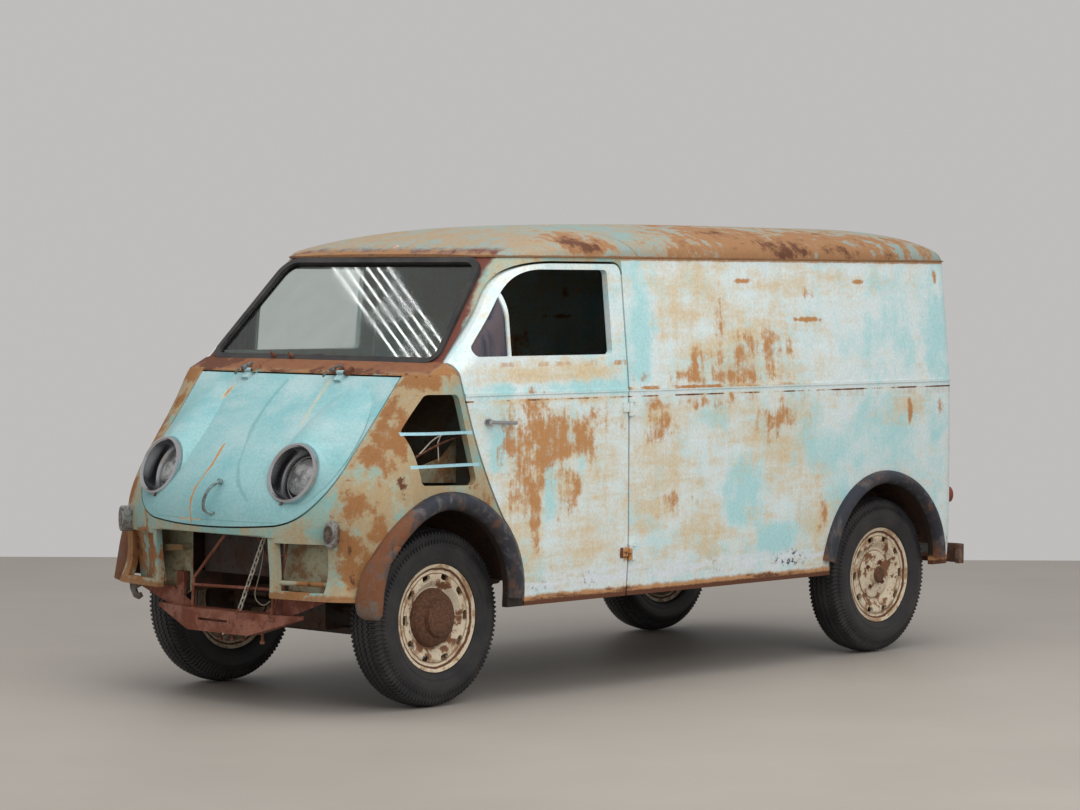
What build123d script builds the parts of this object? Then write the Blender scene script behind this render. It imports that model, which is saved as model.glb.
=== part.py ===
"""A forward-control delivery van of the 1950s, as an assembly of separate pieces.

Frame: origin on the floor under the middle of the van, +Z up, the nose towards -Y
and the van's left side towards +X. Lengths are millimetres.
"""

import math
import os

from build123d import *

os.makedirs("parts", exist_ok=True)

# ---------------------------------------------------------------- driving sizes
BODY_Y = -1504.5
BODY_LIFT = 14.0
BODY_LENGTH = 3510.0
WHEELBASE = 2877.0
FRONT_AXLE_Y = BODY_Y + 96.0
REAR_AXLE_Y = FRONT_AXLE_Y + WHEELBASE
REAR_FACE_Y = BODY_Y + BODY_LENGTH

SILL_Z = 378.0
VALANCE_Z = 446.0
BELT_Z = 1252.0
COWL_Z = 1335.0
SCREEN_BASE_Z = 1385.0
DRIP_Z = 1810.0
ROOF_RISE = 162.0

WALL = 30.0
ROOF_WALL = 26.0
SHEET = 6.0
RUN_GAP = 0.05
MOVE_GAP = 10.0
REAR_CORNER = 110.0
MOULDING = 5.0

TYRE_RADIUS = 363.0
TYRE_WIDTH = 186.0
HUB_Z = TYRE_RADIUS - BODY_LIFT
RIM_RADIUS = 219.5
FRONT_TRACK_HALF = 616.0
REAR_TRACK_HALF = 664.0
KINGPIN_X = FRONT_TRACK_HALF - 109.0
SPINDLE_RADIUS = 20.0

DOOR_REAR_Y = BODY_Y + 1131.0
DOOR_TOP_Z = 1785.0
DOOR_INNER_X = 650.0
FRONT_ARCH_Y = BODY_Y + 52.0
FRONT_ARCH_Z = 420.0
FRONT_ARCH_LONG = 352.0
FRONT_ARCH_TALL = 374.0
FRONT_LIP_WIDTH = 74.0
REAR_ARCH_Y = BODY_Y + 2930.0
REAR_ARCH_Z = 385.0
REAR_ARCH_LONG = 396.0
REAR_ARCH_TALL = 396.0
REAR_LIP_WIDTH = 60.0
LIP_REACH = 46.0
HOUSING_Z = 388.0

RAIL_X = 300.0
RAIL_WIDTH = 60.0
RAIL_BOTTOM_Z = 430.0
FLOOR_Z = 510.0
FLOOR_THICKNESS = 20.0
HOUSING_X = 340.0

# height, nose ahead of the body's datum, half width, sweep of the nose, corner radius
LOWER_SECTIONS = [
    (SILL_Z, 495.0, 788.0, 35.0, 220.0),
    (520.0, 530.0, 797.0, 92.0, 275.0),
    (640.0, 546.0, 800.0, 114.0, 280.0),
    (740.0, 546.0, 800.0, 114.0, 280.0),
    (840.0, 518.0, 800.0, 112.0, 280.0),
    (960.0, 438.0, 800.0, 106.0, 270.0),
    (1100.0, 300.0, 800.0, 88.0, 240.0),
    (1220.0, 168.0, 799.0, 60.0, 200.0),
    (COWL_Z, 34.0, 792.0, 20.0, 150.0),
]
UPPER_SECTIONS = [
    (COWL_Z, 34.0, 792.0, 20.0, 150.0),
    (SCREEN_BASE_Z, -92.0, 787.0, 5.0, 130.0),
    (DRIP_Z, -464.0, 745.0, 8.0, 250.0),
]
SCREEN_TILT = math.degrees(math.atan2(DRIP_Z - SCREEN_BASE_Z, 464.0 - 92.0))


# ---------------------------------------------------------------- helpers
def block(x0, x1, y0, y1, z0, z1):
    """A square block between two corners."""
    with BuildPart() as solid:
        with Locations(((x0 + x1) / 2, (y0 + y1) / 2, (z0 + z1) / 2)):
            Box(abs(x1 - x0), abs(y1 - y0), abs(z1 - z0))
    return solid.part


def rod(start, end, radius):
    """A round bar between two points."""
    start = Vector(*start)
    end = Vector(*end)
    with BuildPart() as bar:
        with BuildSketch(Plane(origin=start, z_dir=end - start)):
            Circle(radius)
        extrude(amount=(end - start).length)
    return bar.part


def disc_x(x0, x1, y, z, radius):
    """A round disc or bar that lies along X."""
    return rod((x0, y, z), (x1, y, z), radius)


def side_prism(outline, x0, x1):
    """An outline drawn in the YZ plane, carried from x0 to x1."""
    with BuildPart() as prism:
        with BuildSketch(Plane.YZ.offset(x0)):
            add(outline)
        extrude(amount=x1 - x0)
    return prism.part


def front_prism(outline, y0, y1):
    """An outline drawn in X and Z, carried from y0 to y1."""
    with BuildPart() as prism:
        with BuildSketch(Plane(origin=(0, y0, 0), x_dir=(1, 0, 0), z_dir=(0, -1, 0))):
            add(outline)
        extrude(amount=y0 - y1)
    return prism.part


def both_sides(part):
    """A piece and its twin on the other side of the van."""
    with BuildPart() as pair:
        add(part)
        mirror(about=Plane.YZ)
    return pair.part


def other_side(part):
    """The twin of a piece on the other side of the van."""
    return part.mirror(Plane.YZ)


def keep(part, name):
    """Name a piece and write it."""
    placed = part.moved(Location((0, 0, BODY_LIFT)))
    placed.label = name
    export_step(placed, f"parts/{name}.step")


# ---------------------------------------------------------------- body forms
def body_outline(height, nose, half_width, sweep, corner, inset):
    """The closed plan of the body at one height: a bowed nose, straight sides and back."""
    side = half_width - inset
    radius = corner - inset
    rear = REAR_FACE_Y - inset
    rear_radius = REAR_CORNER - inset
    tip = BODY_Y - nose + inset
    bow = (half_width - corner) ** 2 / (2 * sweep) + corner - inset
    bow_y = tip + bow
    reach = bow - radius
    corner_x = side - radius
    corner_y = bow_y - math.sqrt(reach**2 - corner_x**2)
    meet_x = corner_x * bow / reach
    meet_y = bow_y + (corner_y - bow_y) * bow / reach
    lean = math.atan2(meet_y - corner_y, meet_x - corner_x)
    mid_x = corner_x + radius * math.cos(lean / 2)
    mid_y = corner_y + radius * math.sin(lean / 2)
    back_x = side - rear_radius
    back_y = rear - rear_radius
    skew = rear_radius * math.sqrt(0.5)
    with BuildSketch(Plane.XY.offset(height)) as outline:
        with BuildLine():
            ThreePointArc((-meet_x, meet_y), (0, tip), (meet_x, meet_y))
            ThreePointArc((meet_x, meet_y), (mid_x, mid_y), (side, corner_y))
            Line((side, corner_y), (side, back_y))
            ThreePointArc((side, back_y), (back_x + skew, back_y + skew), (back_x, rear))
            Line((back_x, rear), (-back_x, rear))
            ThreePointArc((-back_x, rear), (-back_x - skew, back_y + skew), (-side, back_y))
            Line((-side, back_y), (-side, corner_y))
            ThreePointArc((-side, corner_y), (-mid_x, mid_y), (-meet_x, meet_y))
        make_face()
    return outline.sketch


def lower_section(z):
    """Nose, half width, sweep and corner of the lower body at one height."""
    z = max(z, SILL_Z)
    for low, high in zip(LOWER_SECTIONS, LOWER_SECTIONS[1:]):
        if z <= high[0]:
            share = (z - low[0]) / (high[0] - low[0])
            return [a + share * (b - a) for a, b in zip(low[1:], high[1:])]
    return list(LOWER_SECTIONS[-1][1:])


def lower_form(inset):
    """The rounded body below the cowl, as a closed solid."""
    with BuildPart() as form:
        loft([body_outline(*section, inset).face() for section in LOWER_SECTIONS])
    return form.part


def upper_form(inset):
    """The tapered body between the cowl and the drip rail, as a closed solid."""
    with BuildPart() as form:
        loft([body_outline(*section, inset).face() for section in UPPER_SECTIONS], ruled=True)
    return form.part


def roof_arch(y, rise, half_width):
    """One cross section of the roof, on the plane at y."""
    count = 12
    with BuildSketch(Plane(origin=(0, y, DRIP_Z), x_dir=(1, 0, 0), z_dir=(0, -1, 0))) as arch:
        with BuildLine():
            points = []
            for step in range(count + 1):
                turn = math.pi * step / count
                across = abs(math.cos(turn)) ** 0.75 * math.copysign(1, math.cos(turn))
                points.append((half_width * across, rise * math.sin(turn) ** 0.85))
            crown = Spline(*points)
            Line(crown @ 1, crown @ 0)
        make_face()
    return arch.sketch


# distance behind the windscreen's head, share of the roof's rise
ROOF_FRONT = [(6.0, 0.09), (36.0, 0.19), (90.0, 0.34), (190.0, 0.52), (380.0, 0.735)]
ROOF_MIDDLE = [(760.0, 0.915), (1250.0, 0.985), (2050.0, 1.0), (2500.0, 0.99)]
# distance ahead of the rear face, share of the roof's rise
ROOF_REAR = [(250.0, 0.955), (150.0, 0.88), (80.0, 0.74), (30.0, 0.5), (6.0, 0.26)]


def roof_form(inset):
    """The crowned roof above the drip rail, as a closed solid."""
    front = BODY_Y + 464.0
    width = 745.0
    corner = UPPER_SECTIONS[-1][4]
    sections = []
    for back, share in ROOF_FRONT + ROOF_MIDDLE:
        reach = max(corner - back, 0.0)
        half_width = width - corner + math.sqrt(corner**2 - reach**2)
        sections.append((front + back, share, half_width))
    for ahead, share in ROOF_REAR:
        reach = max(REAR_CORNER - ahead, 0.0)
        half_width = width - REAR_CORNER + math.sqrt(REAR_CORNER**2 - reach**2)
        sections.append((REAR_FACE_Y - ahead, share, half_width))
    length = sections[-1][0] - sections[0][0]
    with BuildPart() as form:
        faces = []
        for y, share, half_width in sections:
            place = (y - sections[0][0]) / length
            inner_y = y + inset * (1 - 2 * place)
            rise = share * (ROOF_RISE - inset)
            faces.append(roof_arch(inner_y, rise, half_width - inset).face())
        loft(faces)
    return form.part


lower_outer = lower_form(0.0)
lower_inner = lower_form(WALL)
upper_outer = upper_form(0.0)
upper_inner = upper_form(WALL)

with BuildPart() as cavity:
    add(lower_inner)
    add(upper_inner)

with BuildPart() as body_skin:
    add(lower_outer)
    add(upper_outer)
    add(cavity.part, mode=Mode.SUBTRACT)

split_y = DOOR_REAR_Y + MOVE_GAP


def band(low, high, section, outset, inset):
    """A flat band round the body between two heights, from inset to outset of its skin."""
    with BuildPart() as ring:
        for reach, mode in ((-outset, Mode.ADD), (inset, Mode.SUBTRACT)):
            with BuildPart(mode=Mode.PRIVATE) as slab:
                loft([body_outline(z, *section, reach).face() for z in (low, high)], ruled=True)
            add(slab.part, mode=mode)
    return ring.part


belt = band(BELT_Z - 6.0, BELT_Z + 6.0, lower_section(BELT_Z), MOULDING, WALL / 2)
drip = band(DRIP_Z + 1.0, DRIP_Z + 7.0, UPPER_SECTIONS[-1][1:], 7.0, ROOF_WALL)

with BuildPart() as front_skin:
    add(body_skin.part)
    add(block(-1000, 1000, BODY_Y - 900, split_y, 0, 3000), mode=Mode.INTERSECT)

with BuildPart() as rear_skin:
    add(body_skin.part)
    add(belt)
    add(block(-1000, 1000, split_y, REAR_FACE_Y + 100, 0, 3000), mode=Mode.INTERSECT)


# ---------------------------------------------------------------- outlines
def door_outline(grow):
    """The left door's edge seen from the side; grow widens it to the opening."""
    axle = BODY_Y
    rear = DOOR_REAR_Y + grow
    top = DOOR_TOP_Z + grow
    low = SILL_Z - 40.0
    arch = FRONT_ARCH_TALL + FRONT_LIP_WIDTH + 12.0 - grow
    arch_y = FRONT_ARCH_Y - 7.0
    foot_turn = 44.0
    foot_y = arch_y + arch * math.cos(math.radians(foot_turn))
    foot_z = FRONT_ARCH_Z + arch * math.sin(math.radians(foot_turn))
    waist_z = 1380.0
    waist_y = axle + 112.0 - grow
    radius = 45.0 + grow
    with BuildSketch() as outline:
        with BuildLine():
            base = Line((rear, low), (rear, top - radius))
            turn = TangentArc(base @ 1, (rear - radius, top), tangent=base % 1)
            head = Line(turn @ 1, (axle + 720.0, top))
            pillar = Spline(
                head @ 1,
                (axle + 470.0 - 0.9 * grow, 1732.0 + 0.9 * grow),
                (axle + 320.0 - 1.0 * grow, 1584.0 + 0.9 * grow),
                (axle + 200.0 - 1.0 * grow, 1462.0 + 0.9 * grow),
                (waist_y, waist_z),
                tangents=[(-1, 0), (-0.7, -0.72)],
            )
            front = ThreePointArc(pillar @ 1, (axle + 208.0 - grow, 1067.0), (foot_y, foot_z))
            arc = CenterArc((arch_y, FRONT_ARCH_Z), arch, foot_turn, -foot_turn)
            drop = Line(arc @ 1, (arch_y + arch, low))
            Line(drop @ 1, base @ 0)
        make_face()
    return outline.sketch


def hood_outline(grow):
    """The hood's edge seen from the front; grow widens it to the opening."""
    top_x = 600.0 + grow
    top_z = 1322.0 + grow
    side_x = 584.0 + grow
    side_z = 985.0
    heel_x = 345.0
    heel_z = 736.0 - grow
    low_z = 722.0 - grow
    with BuildSketch() as outline:
        with BuildLine():
            top = Line((-top_x, top_z), (top_x, top_z))
            side = Line(top @ 1, (side_x, side_z))
            heel = Spline(
                side @ 1,
                (side_x - 52.0, 838.0 - 0.7 * grow),
                (heel_x, heel_z),
                tangents=[(-0.05, -1), (-1, -0.08)],
            )
            bottom = ThreePointArc(heel @ 1, (0, low_z), (-heel_x, heel_z))
            other_heel = Spline(
                bottom @ 1,
                (52.0 - side_x, 838.0 - 0.7 * grow),
                (-side_x, side_z),
                tangents=[(-1, 0.08), (-0.05, 1)],
            )
            Line(other_heel @ 1, top @ 0)
        make_face()
    return outline.sketch


def screen_outline(grow):
    """The windscreen's edge on its own sloping plane, measured from its foot."""
    with BuildSketch() as outline:
        with BuildLine():
            Polyline(
                (-676.0 - grow, 6.0 - grow),
                (676.0 + grow, 6.0 - grow),
                (578.0 + grow, 546.0 + grow),
                (-578.0 - grow, 546.0 + grow),
                close=True,
            )
        make_face()
        corners = outline.vertices().sort_by(Axis.Y)
        fillet(corners[:2], radius=45.0 + grow)
        fillet(outline.vertices().sort_by(Axis.Y)[-2:], radius=85.0 + grow)
    return outline.sketch


SCREEN_PLANE = Plane(
    origin=(0, BODY_Y + 92.0, SCREEN_BASE_Z),
    x_dir=(1, 0, 0),
    z_dir=(0, -math.sin(math.radians(SCREEN_TILT)), math.cos(math.radians(SCREEN_TILT))),
)


def screen_prism(grow, low, high):
    """The windscreen's outline carried along the normal of its plane."""
    with BuildPart() as prism:
        with BuildSketch(SCREEN_PLANE.offset(low)):
            add(screen_outline(grow))
        extrude(amount=high - low)
    return prism.part


def window_outline():
    """The door's window opening seen from the side."""
    axle = BODY_Y
    with BuildSketch() as outline:
        with BuildLine():
            sill = Line((axle + 242.0, 1404.0), (axle + 1046.0, 1404.0))
            rear = Line(sill @ 1, (axle + 1046.0, 1760.0))
            head = Line(rear @ 1, (axle + 640.0, 1760.0))
            curve = Spline(
                head @ 1,
                (axle + 500.0, 1722.0),
                (axle + 350.0, 1580.0),
                (axle + 222.0, 1450.0),
                tangents=[(-1, 0), (-0.7, -0.72)],
            )
            ThreePointArc(curve @ 1, (axle + 218.0, 1418.0), sill @ 0)
        make_face()
        fillet(outline.vertices().group_by(Axis.X)[-1], radius=22.0)
    return outline.sketch


def arch_outline(y, z, long, tall):
    """A wheel opening seen from the side: a half oval that drops straight to the sill."""
    with BuildSketch() as outline:
        with Locations((y, z)):
            Ellipse(long, tall)
        with Locations((y, z - tall)):
            Rectangle(2 * long, 2 * tall)
    return outline.sketch


FRONT_ARCH = (FRONT_ARCH_Y, FRONT_ARCH_Z, FRONT_ARCH_LONG, FRONT_ARCH_TALL)
REAR_ARCH = (REAR_ARCH_Y, REAR_ARCH_Z, REAR_ARCH_LONG, REAR_ARCH_TALL)


def vent_outline():
    """The air opening in the front wing, seen from the side."""
    axle = BODY_Y
    with BuildSketch() as outline:
        with BuildLine():
            Polyline(
                (axle - 28.0, 1256.0),
                (axle + 104.0, 1256.0),
                (axle + 214.0, 886.0),
                (axle - 100.0, 896.0),
                (axle - 142.0, 1112.0),
                close=True,
            )
        make_face()
        fillet(outline.vertices(), radius=28.0)
    return outline.sketch


# ---------------------------------------------------------------- hinges
PIN_RADIUS = 4.0
KNUCKLE_RADIUS = 9.0
KNUCKLE_HALF = 20.0
STRAP = 40.0
DOOR_HINGES_Z = (567.0, 1180.0)
DOOR_HINGE_X = 812.0
DOOR_HINGE_Y = DOOR_REAR_Y + MOVE_GAP / 2
HOOD_HINGE_X = 281.0
HOOD_HINGE_Y = BODY_Y - 52.0
HOOD_HINGE_Z = 1336.0
REAR_DOOR_HALF = 420.0
REAR_DOOR_LOW = 560.0
REAR_DOOR_TOP = 1640.0
REAR_HINGE_X = REAR_DOOR_HALF + MOVE_GAP / 2
REAR_HINGE_Y = REAR_FACE_Y + 12.0
REAR_HINGES_Z = (700.0, 1300.0)
FLANGE_Z = 688.0
SLATS_Z = (966.0, 1096.0)


def hinge_knuckle(low, high, bore):
    """One barrel of a hinge about the Z axis, bored for the pin when bore is above zero."""
    with BuildPart() as barrel:
        with BuildSketch(Plane.XY.offset(low)):
            Circle(KNUCKLE_RADIUS)
            if bore > 0:
                Circle(bore, mode=Mode.SUBTRACT)
        extrude(amount=high - low)
    return barrel.part


def hinge_moving():
    """The moving barrel and strap of a hinge, its leaf towards -Y and its back towards -X."""
    with BuildPart() as leaf:
        add(block(-18.0, -4.0, -STRAP, 0.0, -KNUCKLE_HALF, KNUCKLE_HALF))
        add(hinge_knuckle(-KNUCKLE_HALF, KNUCKLE_HALF, 0.0))
        bore = rod((0, 0, -60), (0, 0, 60), PIN_RADIUS + RUN_GAP)
        add(bore, mode=Mode.SUBTRACT)
    return leaf.part


def hinge_fixed():
    """The fixed barrels, pin and straps of a hinge, its leaf towards +Y and its back towards -X."""
    near = KNUCKLE_HALF + 1.0
    far = near + 16.0
    with BuildPart() as leaf:
        for low, high in ((near, far), (-far, -near)):
            add(hinge_knuckle(low, high, 0.0))
            add(block(-18.0, -4.0, 0.0, STRAP, low, high))
        add(rod((0, 0, -far), (0, 0, far), PIN_RADIUS))
    return leaf.part


def door_hinge_place(part, z):
    """Carry a hinge piece to the left door's hinge line."""
    return part.moved(Location((DOOR_HINGE_X, DOOR_HINGE_Y, z)))


def door_hinge_fixed(z):
    """The body's half of one hinge of the left door."""
    return door_hinge_place(hinge_fixed(), z)


def hood_hinge_place(part, x):
    """Carry a hinge piece to the hood's hinge line, its back against the cowl's slope."""
    slope = Plane(origin=(x, HOOD_HINGE_Y, HOOD_HINGE_Z), x_dir=(0, -0.66, 0.75), z_dir=(-1, 0, 0))
    return slope.location * part


def hood_hinge_fixed(x):
    """The cowl's half of one hood hinge."""
    return hood_hinge_place(hinge_fixed(), x)


def rear_hinge_place(part, z):
    """Carry a hinge piece to the rear door's hinge line."""
    place = Plane(origin=(REAR_HINGE_X, REAR_HINGE_Y, z), x_dir=(0, 1, 0), z_dir=(0, 0, -1))
    return place.location * part


# ---------------------------------------------------------------- tow chain
ROD_Y = BODY_Y - 448.0
CROSSMEMBER_TOP_Z = 373.0
LINK_WIRE = 3.0
LINK_HALF_WIDTH = 8.0
LINK_COUNT = 12
CHAIN_TOP = Vector(278.0, ROD_Y - 20.0, FLANGE_Z)
CHAIN_FOOT = Vector(123.0, ROD_Y - 20.0, CROSSMEMBER_TOP_Z)


def chain_link(inner_length):
    """One oval link about the origin, its long side along Z and its flat side towards Y."""
    straight = inner_length / 2 + LINK_WIRE - LINK_HALF_WIDTH
    with BuildPart() as link:
        with BuildLine(Plane.XZ) as path:
            Line((LINK_HALF_WIDTH, -straight), (LINK_HALF_WIDTH, straight))
            ThreePointArc(
                (LINK_HALF_WIDTH, straight),
                (0, straight + LINK_HALF_WIDTH),
                (-LINK_HALF_WIDTH, straight),
            )
            Line((-LINK_HALF_WIDTH, straight), (-LINK_HALF_WIDTH, -straight))
            ThreePointArc(
                (-LINK_HALF_WIDTH, -straight),
                (0, -straight - LINK_HALF_WIDTH),
                (LINK_HALF_WIDTH, -straight),
            )
        with BuildSketch(Plane(origin=(LINK_HALF_WIDTH, 0, 0), z_dir=(0, 0, 1))):
            Circle(LINK_WIRE)
        sweep(path=path.wire())
    return link.part


chain_run = CHAIN_FOOT - CHAIN_TOP
chain_way = chain_run.normalized()
chain_step = chain_run.length / (LINK_COUNT + 1)
one_link = chain_link(chain_step + 0.2)


def chain_place(number):
    """One link in its place on the run; 0 and LINK_COUNT + 1 are the eyes that hold the ends."""
    centre = CHAIN_TOP + chain_way * (chain_step * number)
    across = Vector(0, 1, 0) if number % 2 else Vector(0, 1, 0).cross(chain_way)
    return Plane(origin=centre, x_dir=across, z_dir=chain_way).location * one_link


with BuildPart() as front_chain:
    for number in range(1, LINK_COUNT + 1):
        add(chain_place(number))

with BuildPart() as top_eye:
    add(chain_place(0))
    add(block(-400, 400, ROD_Y - 100, ROD_Y + 100, FLANGE_Z + SHEET, 800), mode=Mode.SUBTRACT)

with BuildPart() as foot_eye:
    add(chain_place(LINK_COUNT + 1))
    add(block(-400, 400, ROD_Y - 100, ROD_Y + 100, 300, CROSSMEMBER_TOP_Z - SHEET), mode=Mode.SUBTRACT)


# ---------------------------------------------------------------- panels
with BuildPart() as left_door:
    add(front_skin.part)
    add(belt)
    add(side_prism(door_outline(0.0), DOOR_INNER_X, 950.0), mode=Mode.INTERSECT)
    add(side_prism(window_outline(), 500.0, 950.0), mode=Mode.SUBTRACT)
    add(screen_prism(30.0, -70.0, 60.0), mode=Mode.SUBTRACT)
    for z in DOOR_HINGES_Z:
        add(door_hinge_place(hinge_moving(), z))

with BuildPart() as front_panel:
    add(front_skin.part)
    add(side_prism(door_outline(MOVE_GAP), DOOR_INNER_X, 950.0), mode=Mode.SUBTRACT)
    add(side_prism(door_outline(MOVE_GAP), -950.0, -DOOR_INNER_X), mode=Mode.SUBTRACT)
    add(front_prism(hood_outline(7.0), BODY_Y + 60.0, BODY_Y - 700.0), mode=Mode.SUBTRACT)
    add(screen_prism(16.0, -60.0, 60.0), mode=Mode.SUBTRACT)
    for side in (-1, 1):
        with BuildPart(mode=Mode.PRIVATE) as vent_hole:
            add(side_prism(vent_outline(), side * 560.0, side * 950.0))
            for low in SLATS_Z:
                slat = block(side * 500.0, side * 950.0, BODY_Y - 400, BODY_Y + 400, low, low + 11.0)
                add(slat, mode=Mode.SUBTRACT)
        add(vent_hole.part, mode=Mode.SUBTRACT)
        arch = side_prism(arch_outline(*FRONT_ARCH), side * 560.0, side * 950.0)
        add(arch, mode=Mode.SUBTRACT)
        horn = block(side * 370, side * 596, BODY_Y - 600, BODY_Y - 180, 476, 668)
        add(horn, mode=Mode.SUBTRACT)
    add(block(-340, 340, BODY_Y - 700, BODY_Y - 200, 300, 694), mode=Mode.SUBTRACT)
    add(block(-900, 900, BODY_Y - 700, BODY_Y - 200, 300, VALANCE_Z), mode=Mode.SUBTRACT)
    add(block(-370, 370, BODY_Y - 512, BODY_Y - 430, FLANGE_Z, FLANGE_Z + SHEET))
    add(top_eye.part)
    recess = Plane(
        origin=(-483.0, BODY_Y - 414.0, 572.0), x_dir=(0.958, -0.287, 0), z_dir=(-0.285, -0.95, -0.13)
    )
    with BuildSketch(recess):
        Rectangle(250.0, 216.0)
    extrude(amount=6.0)
    add(rod((358, BODY_Y - 468, 508), (608, BODY_Y - 394, 508), 10.0))
    for side in (-1, 1):
        add(hood_hinge_fixed(side * HOOD_HINGE_X))

LAMP_X = 401.0
LAMP_Y = BODY_Y - 422.0
LAMP_Z = 941.0
LAMP_TILT = 19.6
LAMP_SPREAD = 4.8
LAMP_HOLE = 117.0


def lamp_axis():
    """The left headlight's place, its normal pointing forward, up and a little outward."""
    tilt = math.radians(LAMP_TILT)
    spread = math.radians(LAMP_SPREAD)
    normal = (math.sin(spread) * math.cos(tilt), -math.cos(spread) * math.cos(tilt), math.sin(tilt))
    upward = (-math.sin(spread) * math.sin(tilt), math.cos(spread) * math.sin(tilt), math.cos(tilt))
    return Plane(origin=(LAMP_X, LAMP_Y, LAMP_Z), x_dir=upward, z_dir=normal)


def lamp_turned(profile):
    """A closed half section of radius and distance forward, turned about the lamp's axis."""
    with BuildPart() as turned:
        with BuildSketch(Plane.XZ):
            with BuildLine():
                Polyline(*profile, close=True)
            make_face()
        revolve(axis=Axis.Z)
    return lamp_axis().location * turned.part


POD_X = 403.0
POD_PLANE = Plane(
    origin=(POD_X, BODY_Y - 262.0, 1050.0), x_dir=(0, 0.633, 0.774), z_dir=(0, -0.774, 0.633)
)

with BuildPart() as pod:
    with BuildSketch(POD_PLANE):
        Ellipse(320.0, 182.0)
    with BuildSketch(lamp_axis()):
        Circle(LAMP_HOLE + 14.0)
    loft()

lamp_hole = lamp_turned([(0.0, -140.0), (LAMP_HOLE, -140.0), (LAMP_HOLE, 120.0), (0.0, 120.0)])

with BuildPart() as hood:
    add(lower_outer)
    add(pod.part)
    add(other_side(pod.part))
    add(lower_inner, mode=Mode.SUBTRACT)
    add(front_prism(hood_outline(0.0), BODY_Y + 60.0, BODY_Y - 700.0), mode=Mode.INTERSECT)
    add(lamp_hole, mode=Mode.SUBTRACT)
    add(other_side(lamp_hole), mode=Mode.SUBTRACT)
    for side in (-1, 1):
        add(hood_hinge_place(hinge_moving(), side * HOOD_HINGE_X))

def rear_door_outline(grow):
    """The rear door's edge seen from behind."""
    with BuildSketch() as outline:
        with Locations((0, (REAR_DOOR_LOW + REAR_DOOR_TOP) / 2)):
            RectangleRounded(
                2 * (REAR_DOOR_HALF + grow), REAR_DOOR_TOP - REAR_DOOR_LOW + 2 * grow, 60.0 + grow
            )
    return outline.sketch


def rear_window_outline(grow):
    """The rear window's edge seen from behind."""
    with BuildSketch() as outline:
        with Locations((0, 1450.0)):
            RectangleRounded(520.0 + 2 * grow, 220.0 + 2 * grow, 50.0 + grow)
    return outline.sketch


with BuildPart() as body_shell:
    add(rear_skin.part)
    for side in (-1, 1):
        arch = side_prism(arch_outline(*REAR_ARCH), side * 600.0, side * 950.0)
        add(arch, mode=Mode.SUBTRACT)
    opening = front_prism(rear_door_outline(MOVE_GAP), REAR_FACE_Y + 100, REAR_FACE_Y - 200)
    add(opening, mode=Mode.SUBTRACT)
    for z in DOOR_HINGES_Z:
        add(door_hinge_fixed(z))
        add(other_side(door_hinge_fixed(z)))
    for z in REAR_HINGES_Z:
        add(rear_hinge_place(hinge_fixed(), z))

with BuildPart() as rear_door:
    add(rear_skin.part)
    leaf = front_prism(rear_door_outline(0.0), REAR_FACE_Y + 100, REAR_FACE_Y - 200)
    add(leaf, mode=Mode.INTERSECT)
    window = front_prism(rear_window_outline(0.0), REAR_FACE_Y + 100, REAR_FACE_Y - 200)
    add(window, mode=Mode.SUBTRACT)
    for z in REAR_HINGES_Z:
        add(rear_hinge_place(hinge_moving(), z))

with BuildPart() as roof:
    add(roof_form(0.0))
    add(roof_form(ROOF_WALL), mode=Mode.SUBTRACT)
    add(drip)

keep(front_panel.part, "front_panel")
keep(hood.part, "hood")
keep(body_shell.part, "body_shell")
keep(rear_door.part, "rear_door")
keep(roof.part, "roof")

# ---------------------------------------------------------------- glass
with BuildPart() as windscreen:
    add(screen_prism(0.0, -18.0, -12.0))

with BuildPart() as windscreen_seal:
    add(screen_prism(16.0, -30.0, 4.0))
    add(screen_prism(-12.0, -40.0, 10.0), mode=Mode.SUBTRACT)
    add(windscreen.part, mode=Mode.SUBTRACT)

VENT_POST_Y = BODY_Y + 424.0

with BuildPart() as left_vent_glass:
    add(side_prism(window_outline(), 500.0, 950.0))
    add(upper_form(12.0), mode=Mode.INTERSECT)
    add(upper_form(17.0), mode=Mode.SUBTRACT)
    add(block(500, 950, BODY_Y, VENT_POST_Y - 8.0, 1000, 2000), mode=Mode.INTERSECT)

with BuildPart() as vent_post:
    add(side_prism(window_outline(), 500.0, 950.0))
    add(upper_form(4.0), mode=Mode.INTERSECT)
    add(upper_form(24.0), mode=Mode.SUBTRACT)
    add(block(500, 950, VENT_POST_Y - 8.0, VENT_POST_Y + 8.0, 1000, 2000), mode=Mode.INTERSECT)

with BuildPart() as left_door_leaf:
    add(left_door.part)
    add(vent_post.part)

with BuildPart() as rear_window:
    glass = front_prism(rear_window_outline(0.0), REAR_FACE_Y - 12.0, REAR_FACE_Y - 17.0)
    add(glass)


# ---------------------------------------------------------------- wheels
def wheel_profile():
    """Half section of the steel wheel: radius against distance outwards from the tyre's middle."""
    return [
        (SPINDLE_RADIUS + RUN_GAP, -42.0),
        (60.0, -42.0),
        (62.0, -30.0),
        (128.0, -28.0),
        (132.0, 28.0),
        (160.0, 50.0),
        (186.0, 48.0),
        (188.0, -62.0),
        (208.0, -68.0),
        (RIM_RADIUS, -72.0),
        (RIM_RADIUS, -66.0),
        (203.0, -58.0),
        (196.0, -20.0),
        (196.0, 20.0),
        (203.0, 58.0),
        (RIM_RADIUS, 68.0),
        (RIM_RADIUS, 75.0),
        (208.0, 71.0),
        (190.0, 60.0),
        (172.0, 66.0),
        (150.0, 62.0),
        (126.0, 40.0),
        (88.0, 38.0),
        (70.0, 44.0),
        (SPINDLE_RADIUS + RUN_GAP, 44.0),
    ]


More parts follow.
